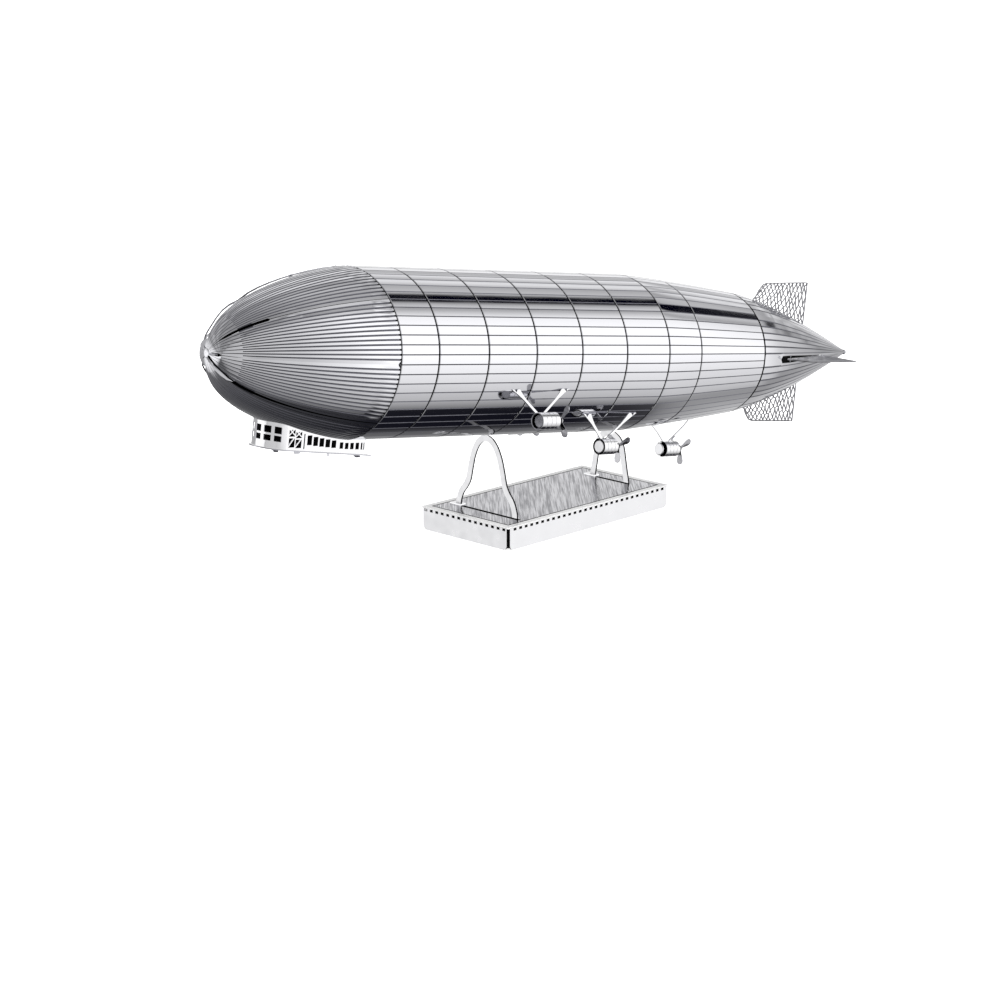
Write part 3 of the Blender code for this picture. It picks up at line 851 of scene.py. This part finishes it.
def car_side(side, sign):
    """One long wall of the car with its windows, braces and fold line."""
    count = 12
    first = CAR_NOSE_REAR + 0.02
    places = [first + (CAR_REAR - first) * i / count for i in range(count + 1)]
    y = sign * CAR_HALF_WIDTH
    tops = [(s, y, car_floor_z(s) + car_room(s, y)) for s in places]
    ends = [(CAR_REAR, y, car_floor_z(CAR_REAR)), (first, y, car_floor_z(first))]
    piece = flat_sheet(f"car_side_{side}", tops + ends, FITTING, CAR_SHEET)
    windows = []
    for start, number, pitch, width, low, high in SIDE_WINDOWS:
        for column in range(number):
            s = start + pitch * column
            room, sill = car_room(s + 0.5 * width, y), car_floor_z(s + width)
            low_z, high_z = sill + low * room, sill + high * room
            windows.append(block((s, y - 0.5, low_z), (s + width, y + 0.5, high_z)))
    fold = CAR_NOSE_REAR + 3.65
    fold_low, fold_high = (fold, y - 0.5, car_floor_z(fold) + 0.25), (fold + 0.24, y + 0.5, -12.9)
    windows.append(block(fold_low, fold_high))
    cut(piece, windows)
    braces = []
    start, number, pitch, width = SIDE_WINDOWS[0][:4]
    for column in range(number):
        s = start + pitch * column
        floor_at, room = car_floor_z(s), car_room(s, y)
        # One bar aslant in the lower window, and two crossed in the upper one
        for bars, (*_, low, high) in enumerate(SIDE_WINDOWS[:2], start=1):
            z0, z1 = floor_at + low * room, floor_at + high * room
            aslant = ((s, z0), (s + width, z1))
            crossing = ((s + width, z0), (s, z1))
            for (s0, b0), (s1, b1) in (aslant, crossing)[:bars]:
                way = Vector((s1 - s0, b1 - b0)).normalized() * BRACE_HALF_WIDTH
                outline = [
                    (s0 - way.y, y, b0 + way.x),
                    (s0 + way.y, y, b0 - way.x),
                    (s1 + way.y, y, b1 - way.x),
                    (s1 - way.y, y, b1 + way.x),
                ]
                braces.append(flat_sheet("car_brace", outline, FITTING, BRACE_SHEET))
    # A dark sheet of painted shade stands inside the wall, so the windows show black
    inner_y, inner_rear = y - sign * PAINTED_SHADE_INSET, CAR_REAR - PAINTED_SHADE_INSET
    corners = [
        (first, inner_y, car_floor_z(first) + PAINTED_SHADE_CLEAR),
        (inner_rear, inner_y, car_floor_z(CAR_REAR) + PAINTED_SHADE_CLEAR),
        (inner_rear, inner_y, car_floor_z(CAR_REAR) + car_room(CAR_REAR, y) - PAINTED_SHADE_CLEAR),
        (first, inner_y, car_floor_z(first) + car_room(first, y) - PAINTED_SHADE_CLEAR),
    ]
    painted_shade = flat_sheet("side_painted_shade", corners, [shade_finish], PAINTED_SHADE_SHEET)
    piece = join([piece, painted_shade, *braces], piece.name)
    finish_piece(piece, [f"car_wall_{side}"])
    piece.visible_glossy = False


def car_ends():
    """Rear wall, and the floor plate with its fold tabs underneath."""
    inside = CAR_HALF_WIDTH - 0.12
    s = CAR_REAR - 0.1
    sides = [inside * (i / 6.0 - 1.0) for i in range(13)]
    top = [(s, y, car_floor_z(s) + car_room(s, y)) for y in sides]
    outline = [*top, (s, inside, car_floor_z(s)), (s, -inside, car_floor_z(s))]
    piece = flat_sheet("car_rear_wall", outline, FITTING, CAR_SHEET)
    finish_piece(piece, ["car_wall_rear"])
    wide = CAR_HALF_WIDTH + 0.5
    rear = CAR_REAR + 1.0
    edge = [(rear, -wide), (rear, wide)]
    edge += [car_nose_point(90.0 - 10.0 * i, 0.5) for i in range(19)]
    piece = plate("car_floor_plate", [(s, y, car_floor_z(s) - 0.12) for s, y in edge])
    wear(piece, *FITTING)
    face_out()
    thicken(piece, FLOOR_SHEET, 0.0, rim=2)
    tabs = []
    for s, y, length, drop, turned_by in FLOOR_TABS:
        top_z = car_floor_z(s) - 0.2
        outline = [
            (s, y, top_z),
            (s + length, y, top_z),
            (s + 0.85 * length, y - turned_by, top_z - drop),
            (s + 0.15 * length, y - turned_by, top_z - drop),
        ]
        finishes = (edge_finish, shade_finish, edge_finish)
        tabs.append(flat_sheet("floor_tab", outline, finishes, TAB_SHEET))
    piece = join([piece, *tabs], piece.name)
    finish_piece(piece, ["car_floor"])
    piece.visible_glossy = False


car_nose()
for side, sign in (("port", -1.0), ("starboard", 1.0)):
    car_side(side, sign)
car_ends()


# Engine pods and propellers

POD_RADIUS = 1.5
PODS = (
    # name, angle, distance from the hull axis, front, rear, foot angle, fore foot,
    # aft foot, propeller turn, reach of the front disc ahead of the tube
    ("fore_port", 119.7, 19.34, 60.5, 64.9, 108.0, 57.4, 70.0, 30.0, -0.45),
    ("fore_starboard", -119.7, 19.34, 60.5, 64.9, -108.0, 57.4, 70.0, -30.0, -0.45),
    ("aft_port", 143.9, 19.2, 83.4, 87.1, 131.0, 79.6, 91.9, 58.0, 0.05),
    ("aft_starboard", -143.9, 19.2, 83.4, 87.1, -131.0, 79.6, 91.9, -9.0, 0.05),
    ("rear", 180.0, 18.7, 114.4, 118.3, 180.0, 111.0, 123.0, 52.0, 0.85),
)
PROPELLER_GAP = 1.4
STRUT_LIFT = 0.02
# Half widths of a strut: plain, where it widens, at its foot, and of the notch in the foot
STRUT_HALF, FORK_HALF, FOOT_HALF, NOTCH_HALF = 0.36, 0.62, 1.0, 0.42
STRUT_SHEET, TUBE_SHEET, BLADE_SHEET, DISC_TAB_SHEET = 0.22, 0.16, 0.14, 0.12
# Radius at which a turned shape closes on its axis
POLE = 0.0001


def spun_at(name, stations, place, steps=32):
    """A shape turned about its own axis, then set beside the hull's axis."""
    piece = turned(name, stations, 0.0, 360.0, steps)
    settle(piece, Matrix.Translation(Vector((0.0, *place)) * MM))
    return piece


def strut(pod_at, foot_angle, foot, pod_end):
    """Flat strip from the pod up to the hull, forked into two prongs at the foot."""
    away = hull_radius(foot) + STRUT_LIFT
    foot_at = Vector(around(foot_angle, away))
    centre = Vector(pod_at)
    height = (foot_at - centre).length
    low = POD_RADIUS - 0.1
    lean = (foot - pod_end) / (height - low)

    def middle(at):
        return pod_end + lean * (at - low)

    ribs = (
        (pod_end, STRUT_HALF, low),
        (middle(height - 1.9), STRUT_HALF, height - 1.9),
        (middle(height - 0.9), FORK_HALF, height - 0.9),
        (foot, FOOT_HALF, height),
        (foot, NOTCH_HALF, height),
    )
    shape = [(s - half, at) for s, half, at in ribs]
    shape.append((foot - 0.05, height - 0.55))
    shape += [(s + half, at) for s, half, at in reversed(ribs)]
    out = (foot_at - centre).normalized()
    outline = [(s, centre.x + out.x * at, centre.y + out.y * at) for s, at in shape]
    return flat_sheet("pod_strut", outline, FITTING, STRUT_SHEET, rim=2)


def pod(name, angle, distance, front, rear, foot_angle, fore, aft, ahead):
    """Rolled tube with etched hoops, a disc in or ahead of its mouth, struts and pin."""
    # The tube's inside wears the black painted shade, and so does the rim of its mouth where the
    # disc is not sunk in it
    rim = 2 if ahead < 0.0 else 1
    face = edge_finish if ahead < 0.0 else hoop_finish
    at = around(angle, distance)
    stations = [(front, POD_RADIUS - 0.03), (front + 0.06, POD_RADIUS)]
    hoops = 3
    for i in range(1, hoops + 1):
        s = front + (rear - front) * i / (hoops + 1.0)
        stations += [(s - 0.07, POD_RADIUS), (s, POD_RADIUS - 0.06), (s + 0.07, POD_RADIUS)]
    stations += [(rear - 0.06, POD_RADIUS), (rear, POD_RADIUS - 0.05)]
    tube = spun_at(f"pod_tube_{name}", stations, at)
    wear(tube, *FITTING)
    thicken(tube, TUBE_SHEET, rim=rim, back=1)
    mouth = front - ahead
    disc = spun_at(
        "pod_disc",
        [(mouth, POLE), (mouth, 1.02), (mouth + 0.06, 1.12), (mouth + 0.2, 1.12)]
        + [(mouth + 0.2, POLE)],
        at,
    )
    wear(disc, face, shade_finish, edge_finish)
    # The back wall inside the tube wears the black painted shade, and the pin out to the propeller
    # wears the same black
    back = spun_at(
        "pod_back",
        [(rear - 0.2, POLE), (rear - 0.2, 1.3), (rear - 0.04, 1.36), (rear, 1.2)]
        + [(rear + 0.04, 0.6), (rear + 0.12, 0.3), (rear + PROPELLER_GAP - 0.12, 0.28)]
        + [(rear + PROPELLER_GAP - 0.12, POLE)],
        at,
    )
    wear(back, shade_finish, edge_finish)
    pieces = [tube, disc, back]
    for turn in (0.0, 180.0):
        y, z = around(turn, POD_RADIUS - 0.14)
        y0, z0 = around(turn, 1.2)
        outline = [
            (front + 0.3, at[0] + y - 0.25, at[1] + z),
            (front + 0.3, at[0] + y + 0.25, at[1] + z),
            (mouth + 0.1, at[0] + y0 + 0.2, at[1] + z0),
            (mouth + 0.1, at[0] + y0 - 0.2, at[1] + z0),
        ]
        pieces.append(flat_sheet("disc_tab", outline, FITTING, DISC_TAB_SHEET))
    pieces.append(strut(at, foot_angle, fore, front + 0.45))
    pieces.append(strut(at, foot_angle, aft, 0.5 * (front + rear)))
    piece = join(pieces, f"engine_pod_{name}")
    finish_piece(piece, [f"pod_{name}"])


BLADE_SHAPE = (
    # distance from the centre, half width
    (0.30, 0.22),
    (0.90, 0.30),
    (1.40, 0.42),
    (1.90, 0.54),
    (2.40, 0.60),
    (2.80, 0.53),
    (3.02, 0.34),
    (3.12, 0.14),
)
BLADE_TWIST_DEG = -14.0


def propeller(name, angle, distance, rear, first_turn):
    """Three leaf blades twisted on a small hub."""
    y, z = around(angle, distance)
    place = rear + PROPELLER_GAP + 0.125
    hub = spun_at(
        f"propeller_hub_{name}",
        [(place - 0.12, POLE), (place - 0.12, 0.5), (place - 0.02, 0.56), (place + 0.1, 0.5)]
        + [(place + 0.22, 0.26), (place + 0.24, POLE)],
        (y, z),
        24,
    )
    wear(hub, white_finish, edge_finish)
    pieces = [hub]
    outline = [(0.0, half, out) for out, half in BLADE_SHAPE]
    outline += [(0.0, -half, out) for out, half in reversed(BLADE_SHAPE)]
    for blade in range(3):
        finishes = (blade_finish, edge_finish)
        leaf = flat_sheet("propeller_blade", outline, finishes, BLADE_SHEET, rim=1)
        turn = math.radians(first_turn + 120.0 * blade)
        settle(
            leaf,
            Matrix.Translation(Vector((place, y, z)) * MM)
            @ Matrix.Rotation(turn, 4, "X")
            @ Matrix.Rotation(math.radians(BLADE_TWIST_DEG), 4, "Z"),
        )
        pieces.append(leaf)
    piece = join(pieces, f"airscrew_{name}")
    finish_piece(piece, [f"propeller_{name}"], body=f"propeller_{name}")


for name, angle, distance, front, rear, foot_angle, fore, aft, turn, ahead in PODS:
    pod(name, angle, distance, front, rear, foot_angle, fore, aft, ahead)
    propeller(name, angle, distance, rear, turn)


# Fins

FIN_TOP = ((138.8, 13.6), (154.3, 14.0))
FIN_ROOT = (137.2, 154.3)
FIN_COLUMNS, FIN_TIERS = 13, 3
FIN_WIRE = 0.36
# How far a corner of the net may stray, as shares of the fin's length and height
STRAY_ALONG, STRAY_OUT = 0.014, 0.07
# The front upper corner is drawn in by this much, over a share of the length
CORNER_DRAW, CORNER_SHARE = 1.5, 0.14


def fin(name, turn_deg):
    """Etched net of thin bars, a little uneven, between the hull and a straight edge."""
    chance = random.Random(7)
    close_edit()
    bpy.ops.mesh.primitive_grid_add(
        x_subdivisions=FIN_COLUMNS, y_subdivisions=FIN_TIERS, size=1.0, location=(0.5, 0.5, 0.0)
    )
    bpy.ops.object.transform_apply()
    piece = edit(f"{name}_fin_net")
    wear(piece, fin_finish, edge_finish)
    bpy.ops.mesh.select_all(action="SELECT")
    bpy.ops.mesh.poke()

    def inner(edge):
        one, two = (vertex.co for vertex in edge.verts)
        straight = abs(one.x - two.x) < 1e-4 or abs(one.y - two.y) < 1e-4
        return straight and len(edge.link_faces) == 2

    pick(piece, "EDGE", inner)
    bpy.ops.mesh.dissolve_edges(use_verts=False)
    bpy.ops.mesh.select_mode(type="VERT")
    bpy.ops.mesh.select_all(action="SELECT")
    shape = bmesh.from_edit_mesh(piece.data)
    for vertex in shape.verts:
        along, out = vertex.co.x, vertex.co.y
        if 0.01 < along < 0.99:
            along += chance.uniform(-STRAY_ALONG, STRAY_ALONG)
        if 0.01 < out < 0.99:
            out += chance.uniform(-STRAY_OUT, STRAY_OUT)
        s_root = FIN_ROOT[0] + along * (FIN_ROOT[1] - FIN_ROOT[0])
        s_top = FIN_TOP[0][0] + along * (FIN_TOP[1][0] - FIN_TOP[0][0])
        r_root = hull_radius(s_root) + 0.05
        r_top = FIN_TOP[0][1] + along * (FIN_TOP[1][1] - FIN_TOP[0][1])
        corner = 1.0 - min(1.0, along / CORNER_SHARE)
        r_top -= CORNER_DRAW * corner**2
        s = s_root + out**0.6 * (s_top - s_root)
        radius = r_root + out * (r_top - r_root)
        y, z = around(turn_deg, radius)
        vertex.co = Vector((s, y, z)) * MM
    bmesh.update_edit_mesh(piece.data)
    bpy.ops.object.mode_set(mode="OBJECT")
    wires = piece.modifiers.new("wires", "WIREFRAME")
    wires.thickness = FIN_WIRE * MM
    wires.use_even_offset = False
    wires.use_boundary = True
    bpy.ops.object.modifier_apply(modifier="wires")
    finish_piece(piece, [f"fin_{name}"], smooth=5.0)


for name, turn in (("upper", 0.0), ("port", 90.0), ("lower", 180.0), ("starboard", 270.0)):
    fin(name, turn)


# Plinth and arches

PLINTH_X = -5.3
PLINTH_LENGTH, PLINTH_WIDTH, PLINTH_HEIGHT = 42.6, 21.8, 4.2
HOLE_PITCH, HOLE_WIDTH, HOLE_HEIGHT = 1.4, 0.7, 0.58
CORNER_GAP, CORNER_RADIUS = 0.42, 0.9
BORDER, GROOVE = 1.25, 0.3
PLINTH_SHEET = 0.24
# Slots for the arches' feet: place along X, reach to port and to starboard
FOOT_SLOTS = ((-21.4, 8.6, 5.9), (11.3, 5.2, 3.0))
# Least plain length at the two ends of a row of holes, and above the holes
ROW_END, ROW_TOP = 2.1, 0.16


def plinth_side(name, length, place, turn_deg):
    """One folded side: rounded lower corners and a row of square holes at the fold."""
    half = 0.5 * length - CORNER_GAP
    top = PLINTH_HEIGHT - 0.05
    arc = [math.radians(15.0 * i) for i in range(7)]
    right = [
        (half - CORNER_RADIUS * (1.0 - math.sin(a)), CORNER_RADIUS * (1.0 - math.cos(a)))
        for a in arc
    ]
    left = [(-x, z) for x, z in reversed(right)]
    outline = [(x, 0.0, z) for x, z in [*left, *right, (half, top), (-half, top)]]
    piece = plate(name, outline)
    wear(piece, side_finish, shade_finish, edge_finish)
    face_out()
    # Its cut rims wear the black painted shade, and so do the walls of its square holes
    thicken(piece, PLINTH_SHEET, 0.0, rim=1)
    count = int((length - ROW_END) / HOLE_PITCH) + 1
    first = -0.5 * HOLE_PITCH * (count - 1)
    holes = []
    high = PLINTH_HEIGHT - ROW_TOP
    for i in range(count):
        low_x = first + HOLE_PITCH * i - 0.5 * HOLE_WIDTH
        holes.append(block((low_x, -0.5, high - HOLE_HEIGHT), (low_x + HOLE_WIDTH, 0.5, high)))
    cut(piece, holes)
    turn = Matrix.Rotation(math.radians(turn_deg), 4, "Z")
    settle(piece, Matrix.Translation(Vector(place) * MM) @ turn)
    return piece


def plinth():
    """Top sheet with a grained panel inside a plain border, and four folded sides."""
    half_x, half_y = 0.5 * PLINTH_LENGTH, 0.5 * PLINTH_WIDTH
    close_edit()
    bpy.ops.mesh.primitive_plane_add(
        size=1.0, location=(PLINTH_X * MM, 0.0, PLINTH_HEIGHT * MM)
    )
    bpy.context.object.scale = (PLINTH_LENGTH * MM, PLINTH_WIDTH * MM, 1.0)
    bpy.ops.object.transform_apply()
    top = edit("plinth_top")
    wear(top, plinth_finish, shade_finish, edge_finish, grained_finish)
    bpy.ops.mesh.select_all(action="SELECT")
    bpy.ops.mesh.inset(thickness=BORDER * MM)
    bpy.ops.mesh.inset(thickness=GROOVE * MM)
    assign(top, 3)

    def groove(face):
        middle = face.calc_center_median() / MM
        edge_x = half_x - abs(middle.x - PLINTH_X)
        edge_y = half_y - abs(middle.y)
        return BORDER < min(edge_x, edge_y) < BORDER + GROOVE

    # The narrow groove between the border and the panel wears the black painted shade
    pick(top, "FACE", groove)
    assign(top, 1)
    thicken(top, PLINTH_SHEET)
    slots = [
        block((x - 0.4, -low, PLINTH_HEIGHT - 1.0), (x + 0.4, high, PLINTH_HEIGHT + 1.0))
        for x, low, high in FOOT_SLOTS
    ]
    cut(top, slots)
    fold = 0.5 * PLINTH_SHEET
    sides = [
        plinth_side("side_port", PLINTH_LENGTH, (PLINTH_X, -half_y + fold, 0.0), 0.0),
        plinth_side("side_starboard", PLINTH_LENGTH, (PLINTH_X, half_y - fold, 0.0), 180.0),
        plinth_side("side_fore", PLINTH_WIDTH, (PLINTH_X - half_x + fold, 0.0, 0.0), -90.0),
        plinth_side("side_aft", PLINTH_WIDTH, (PLINTH_X + half_x - fold, 0.0, 0.0), 90.0),
    ]
    # A dark open box of painted shade stands inside the plinth, so its square holes show black
    inside = 0.6
    painted_shade = block(
        (PLINTH_X - half_x + inside, -half_y + inside, 0.3),
        (PLINTH_X + half_x - inside, half_y - inside, PLINTH_HEIGHT - 0.4),
    )
    edit("plinth_painted_shade")
    wear(painted_shade, shade_finish)
    pick(painted_shade, "FACE", lambda face: face.normal.z < -0.5)
    bpy.ops.mesh.delete(type="FACE")
    thicken(painted_shade, PAINTED_SHADE_SHEET)
    piece = join([top, *sides, painted_shade], "folded_plinth")
    finish_piece(piece, ["plinth"], on_ship=False)
    piece.visible_glossy = False


# Outer edge of each arch from its crown to its foot: share of the width, then of the height
FRONT_EDGE = (
    (0.00, 1.00), (0.20, 0.96), (0.37, 0.87), (0.50, 0.73), (0.58, 0.58), (0.63, 0.46),
    (0.67, 0.38), (0.76, 0.30), (0.88, 0.22), (0.96, 0.13), (1.00, 0.05), (1.00, 0.00),
)
REAR_EDGE = (
    (0.00, 1.00), (0.28, 0.97), (0.55, 0.88), (0.72, 0.74), (0.80, 0.58), (0.85, 0.42),
    (0.91, 0.25), (0.97, 0.10), (1.00, 0.00),
)
# Name, place along X, half width of the feet, outer edge
HOOPS = (("hoop_front", -20.9, 7.6, FRONT_EDGE), ("hoop_rear", 11.8, 4.8, REAR_EDGE))
ARCH_BAR, ARCH_SHEET, ARCH_TAB_SHEET = 1.15, 0.34, 0.22


def curve_through(points, cuts):
    """A smooth line through the points, with cuts between each two."""
    out = []
    for i in range(len(points) - 1):
        before = Vector(points[max(i - 1, 0)])
        one, two = Vector(points[i]), Vector(points[i + 1])
        after = Vector(points[min(i + 2, len(points) - 1)])
        for k in range(cuts):
            t = k / cuts
            out.append(
                0.5
                * (
                    2.0 * one
                    + (two - before) * t
                    + (2.0 * before - 5.0 * one + 4.0 * two - after) * t**2
                    + (3.0 * one - before - 3.0 * two + after) * t**3
                )
            )
    return [*out, Vector(points[-1])]


def arch(name, x, half, shape, rise):
    """Flat arch with splayed feet and a tab that reaches up into the hull."""
    foot = PLINTH_HEIGHT + 0.02
    outer = curve_through([(half * w, foot + rise * h) for w, h in shape], 5)
    inner = []
    for i, point in enumerate(outer):
        ahead = outer[min(i + 1, len(outer) - 1)] - outer[max(i - 1, 0)]
        inward = Vector((ahead.y, -ahead.x)).normalized() * ARCH_BAR
        inner.append(point + inward)
    inner = [point for point in inner if point.x > 0.12]
    inner[-1].y = foot
    right = [*outer[1:], *reversed(inner)]
    tab = [(-0.5, foot + rise - 0.2), (-0.45, foot + rise + 0.5)]
    tab += [(0.45, foot + rise + 0.5), (0.5, foot + rise - 0.2)]
    loop = [(x, p.x, p.y) for p in right]
    loop += [(x, -p.x, p.y) for p in reversed(right)]
    # The arch's rims wear the black painted shade, which outlines it dark
    finishes = (hoop_finish, shade_finish, edge_finish)
    bow = flat_sheet(name, loop, finishes, ARCH_SHEET, rim=1)
    top = flat_sheet("arch_tab", [(x, y, z) for y, z in tab], FITTING, ARCH_TAB_SHEET, rim=2)
    y = half - 0.2
    foot_plate = block((x - 0.7, y - 1.3, PLINTH_HEIGHT), (x + 0.7, y + 1.3, PLINTH_HEIGHT + 0.25))
    wear(foot_plate, *FITTING)
    piece = join([bow, top, foot_plate], name)
    finish_piece(piece, [name.replace("hoop", "arch")], on_ship=False)


def hull_underside(x):
    """World height of the hull's underside over a place x."""
    pitch = math.radians(PITCH_DEG)
    s = (x - NOSE_X + HULL_RADIUS * math.sin(pitch)) / math.cos(pitch)
    return NOSE_Z - s * math.sin(pitch) - hull_radius(s) * math.cos(pitch)


plinth()
for name, x, half, shape in HOOPS:
    arch(name, x, half, shape, hull_underside(x) - PLINTH_HEIGHT - 0.1)


# Floor, light and camera

bpy.ops.object.select_all(action="DESELECT")
bpy.ops.mesh.primitive_plane_add(size=8.0)
floor = bpy.context.object
floor.name = "floor"
# Pale card: matt and white, lit a little from within so that it stays even
floor_finish = bpy.data.materials.new("pale_paper")
floor_finish.use_nodes = True
floor_shader = floor_finish.node_tree.nodes["Principled BSDF"]
for socket, value in (
    ("Base Color", colour("#F4F4F4")),
    ("Roughness", 0.9),
    ("Specular IOR Level", 0.1),
    ("Emission Color", colour("#FFFFFF")),
    ("Emission Strength", 0.75),
):
    floor_shader.inputs[socket].default_value = value
floor.data.materials.append(floor_finish)
floor.visible_glossy = False


# The tent round the ship's length, with 0 up, 90 to port and 180 down
AROUND = (
    # degrees, brightness, front light, black card, floor light
    (-180.0, 0.006, 0.0, 0.0, 0.7),
    (-158.0, 0.006, 0.0, 0.0, 1.0),
    (-150.0, 0.08, 0.0, 0.0, 1.0),
    (-136.0, 0.17, 0.6, 0.0, 1.0),
    (-116.0, 0.42, 1.0, 0.0, 0.9),
    (-90.0, 0.90, 1.0, 0.0, 0.2),
    (-72.0, 1.00, 0.4, 0.0, 0.0),
    (-60.0, 0.50, 0.0, 0.0, 0.0),
    (-50.0, 1.05, 0.0, 0.0, 0.0),
    (-41.0, 0.48, 0.0, 0.0, 0.0),
    (-32.0, 0.98, 0.0, 0.0, 0.0),
    (-24.0, 0.40, 0.0, 0.0, 0.0),
    (-12.0, 0.64, 0.0, 0.0, 0.0),
    (-2.6, 0.50, 0.0, 0.0, 0.0),
    (-1.1, 0.50, 0.0, 1.0, 0.0),
    (12.9, 0.50, 0.0, 1.0, 0.0),
    (14.9, 0.50, 0.0, 0.0, 0.0),
    (20.0, 0.78, 0.0, 0.0, 0.0),
    (27.0, 0.42, 0.0, 0.0, 0.0),
    (35.0, 1.05, 0.0, 0.0, 0.0),
    (52.0, 1.30, 0.0, 0.0, 0.0),
    (92.0, 1.36, 0.0, 0.0, 0.0),
    (112.0, 1.14, 0.0, 0.0, 0.0),
    (130.0, 0.92, 0.0, 0.0, 0.0),
    (144.0, 0.70, 0.0, 0.0, 0.2),
    (158.0, 0.46, 0.0, 0.0, 0.4),
    (163.0, 0.22, 0.0, 0.0, 0.6),
    (168.0, 0.010, 0.0, 0.0, 0.7),
    (180.0, 0.006, 0.0, 0.0, 0.7),
)
# How much of that reaches the skin by the way aft, from -1 ahead of the bow to 1
AHEAD = (
    # way aft, share of the brightness, haze, reach of the card and floor, front light
    (-1.0, 0.36, 0.14, 0.0, 0.80),
    (-0.60, 0.40, 0.13, 0.0, 0.80),
    (-0.45, 0.40, 0.10, 0.0, 0.0),
    (0.05, 0.54, 0.05, 0.0, 0.0),
    (0.30, 0.78, 0.03, 0.0, 0.0),
    (0.42, 1.00, 0.01, 0.0, 0.0),
    (0.64, 1.00, 0.00, 0.0, 0.0),
    (0.69, 1.00, 0.00, 0.3, 0.0),
    (0.75, 1.00, 0.00, 1.0, 0.0),
    (0.90, 1.00, 0.00, 1.0, 0.0),
    (0.97, 0.45, 0.22, 0.9, 0.0),
    (1.0, 0.30, 0.24, 0.3, 0.0),
)
RAMP_TOP = 2.0
FLOOR_LIGHT = 0.5
# The columns of the two tables after their first, as the ramps give them
RAMP_OUTPUTS = ("level", "front", "card", "under", "share", "haze", "aft", "bow")
LIGHT_STEPS = (
    # result, operation, and what goes in: a number or an earlier result
    ("light", "MULTIPLY", "level", "share"),
    ("light", "MULTIPLY_ADD", "light", RAMP_TOP**2, "haze"),
    ("light", "MULTIPLY_ADD", "front", "bow", "light"),
    ("floor", "MULTIPLY", "under", "aft"),
    ("light", "MULTIPLY_ADD", "floor", FLOOR_LIGHT, "light"),
    ("hidden", "MULTIPLY", "card", "aft"),
    ("shown", "SUBTRACT", 1.0, "hidden"),
    ("light", "MULTIPLY", "light", "shown"),
)


def studio():
    """White tent with grey and black cards, which the polished skin mirrors as bands."""
    world = bpy.data.worlds.new("studio_tent")
    bpy.context.scene.world = world
    world.use_nodes = True
    tree = world.node_tree
    back = tree.nodes["Background"]
    way = add(tree, "ShaderNodeTexCoord").outputs["Generated"]
    parts = add(tree, "ShaderNodeSeparateXYZ", (), {"Vector": way}).outputs
    port = add(tree, "ShaderNodeMath", {"operation": "MULTIPLY", 1: -1.0}, {0: parts["Y"]})
    turn = add(
        tree, "ShaderNodeMath", {"operation": "ARCTAN2"}, {0: port.outputs[0], 1: parts["Z"]}
    )
    ramps = []
    for value, reach, full, stops in (
        (turn.outputs[0], math.pi, 180.0, AROUND),
        (parts["X"], 1.0, 1.0, AHEAD),
    ):
        share = add(
            tree,
            "ShaderNodeMapRange",
            {"From Min": -reach, "From Max": reach},
            {"Value": value},
        ).outputs["Result"]
        ramp = add(tree, "ShaderNodeValToRGB", (), {"Fac": share})
        line = ramp.color_ramp
        while len(line.elements) < len(stops):
            line.elements.new(0.5)
        for element, (place, level, *masks) in zip(line.elements, stops):
            element.position = 0.5 + 0.5 * place / full
            # A ramp stops at one, so it holds a share of the brightest
            element.color = (level / RAMP_TOP, *masks)
        split = add(tree, "ShaderNodeSeparateColor", (), {"Color": ramp.outputs["Color"]})
        ramps.append([*split.outputs, ramp.outputs["Alpha"]])
    made = dict(zip(RAMP_OUTPUTS, [*ramps[0], *ramps[1]]))
    for name, operation, *values in LIGHT_STEPS:
        numbers = {i: value for i, value in enumerate(values) if isinstance(value, float)}
        links = {i: made[value] for i, value in enumerate(values) if isinstance(value, str)}
        settings = {"operation": operation, **numbers}
        made[name] = add(tree, "ShaderNodeMath", settings, links).outputs[0]
    # Inputs 6 and 7 are the two colours; the factor may pass one, for the brightest bands
    tint = add(
        tree,
        "ShaderNodeMix",
        {"data_type": "RGBA", "clamp_factor": False, 6: colour("#000010"), 7: colour("#FFFFFF")},
        {0: made["light"]},
    )
    tree.links.new(tint.outputs[2], back.inputs["Color"])


studio()

bpy.ops.object.light_add(type="SUN", rotation=(math.radians(25.0), math.radians(-15.0), 0.0))
key = bpy.context.object
key.name = "soft_top_light"
key.data.energy = 3.2
key.data.angle = math.radians(70.0)
key.visible_glossy = False

# The photograph's view: 46 degrees from the port bow and a little from above
VIEW_AZIMUTH, VIEW_ELEVATION = 46.08, 12.44
VIEW_DISTANCE = 467.6
AIM = Vector((-11.08, 0.0, 22.95))
turn, lift = math.radians(VIEW_AZIMUTH), math.radians(VIEW_ELEVATION)
away = Vector(
    (-math.sin(turn) * math.cos(lift), -math.cos(turn) * math.cos(lift), math.sin(lift))
)
bpy.ops.object.camera_add(location=(AIM + away * VIEW_DISTANCE) * MM)
camera = bpy.context.object
camera.name = "camera"
camera.rotation_euler = away.to_track_quat("Z", "Y").to_euler()
camera.data.sensor_width = 36.0
camera.data.lens = 93.6
camera.data.shift_x = -0.025
camera.data.shift_y = -0.1
camera.data.clip_start = 0.01
bpy.context.scene.camera = camera
bpy.context.scene.view_settings.view_transform = "Standard"
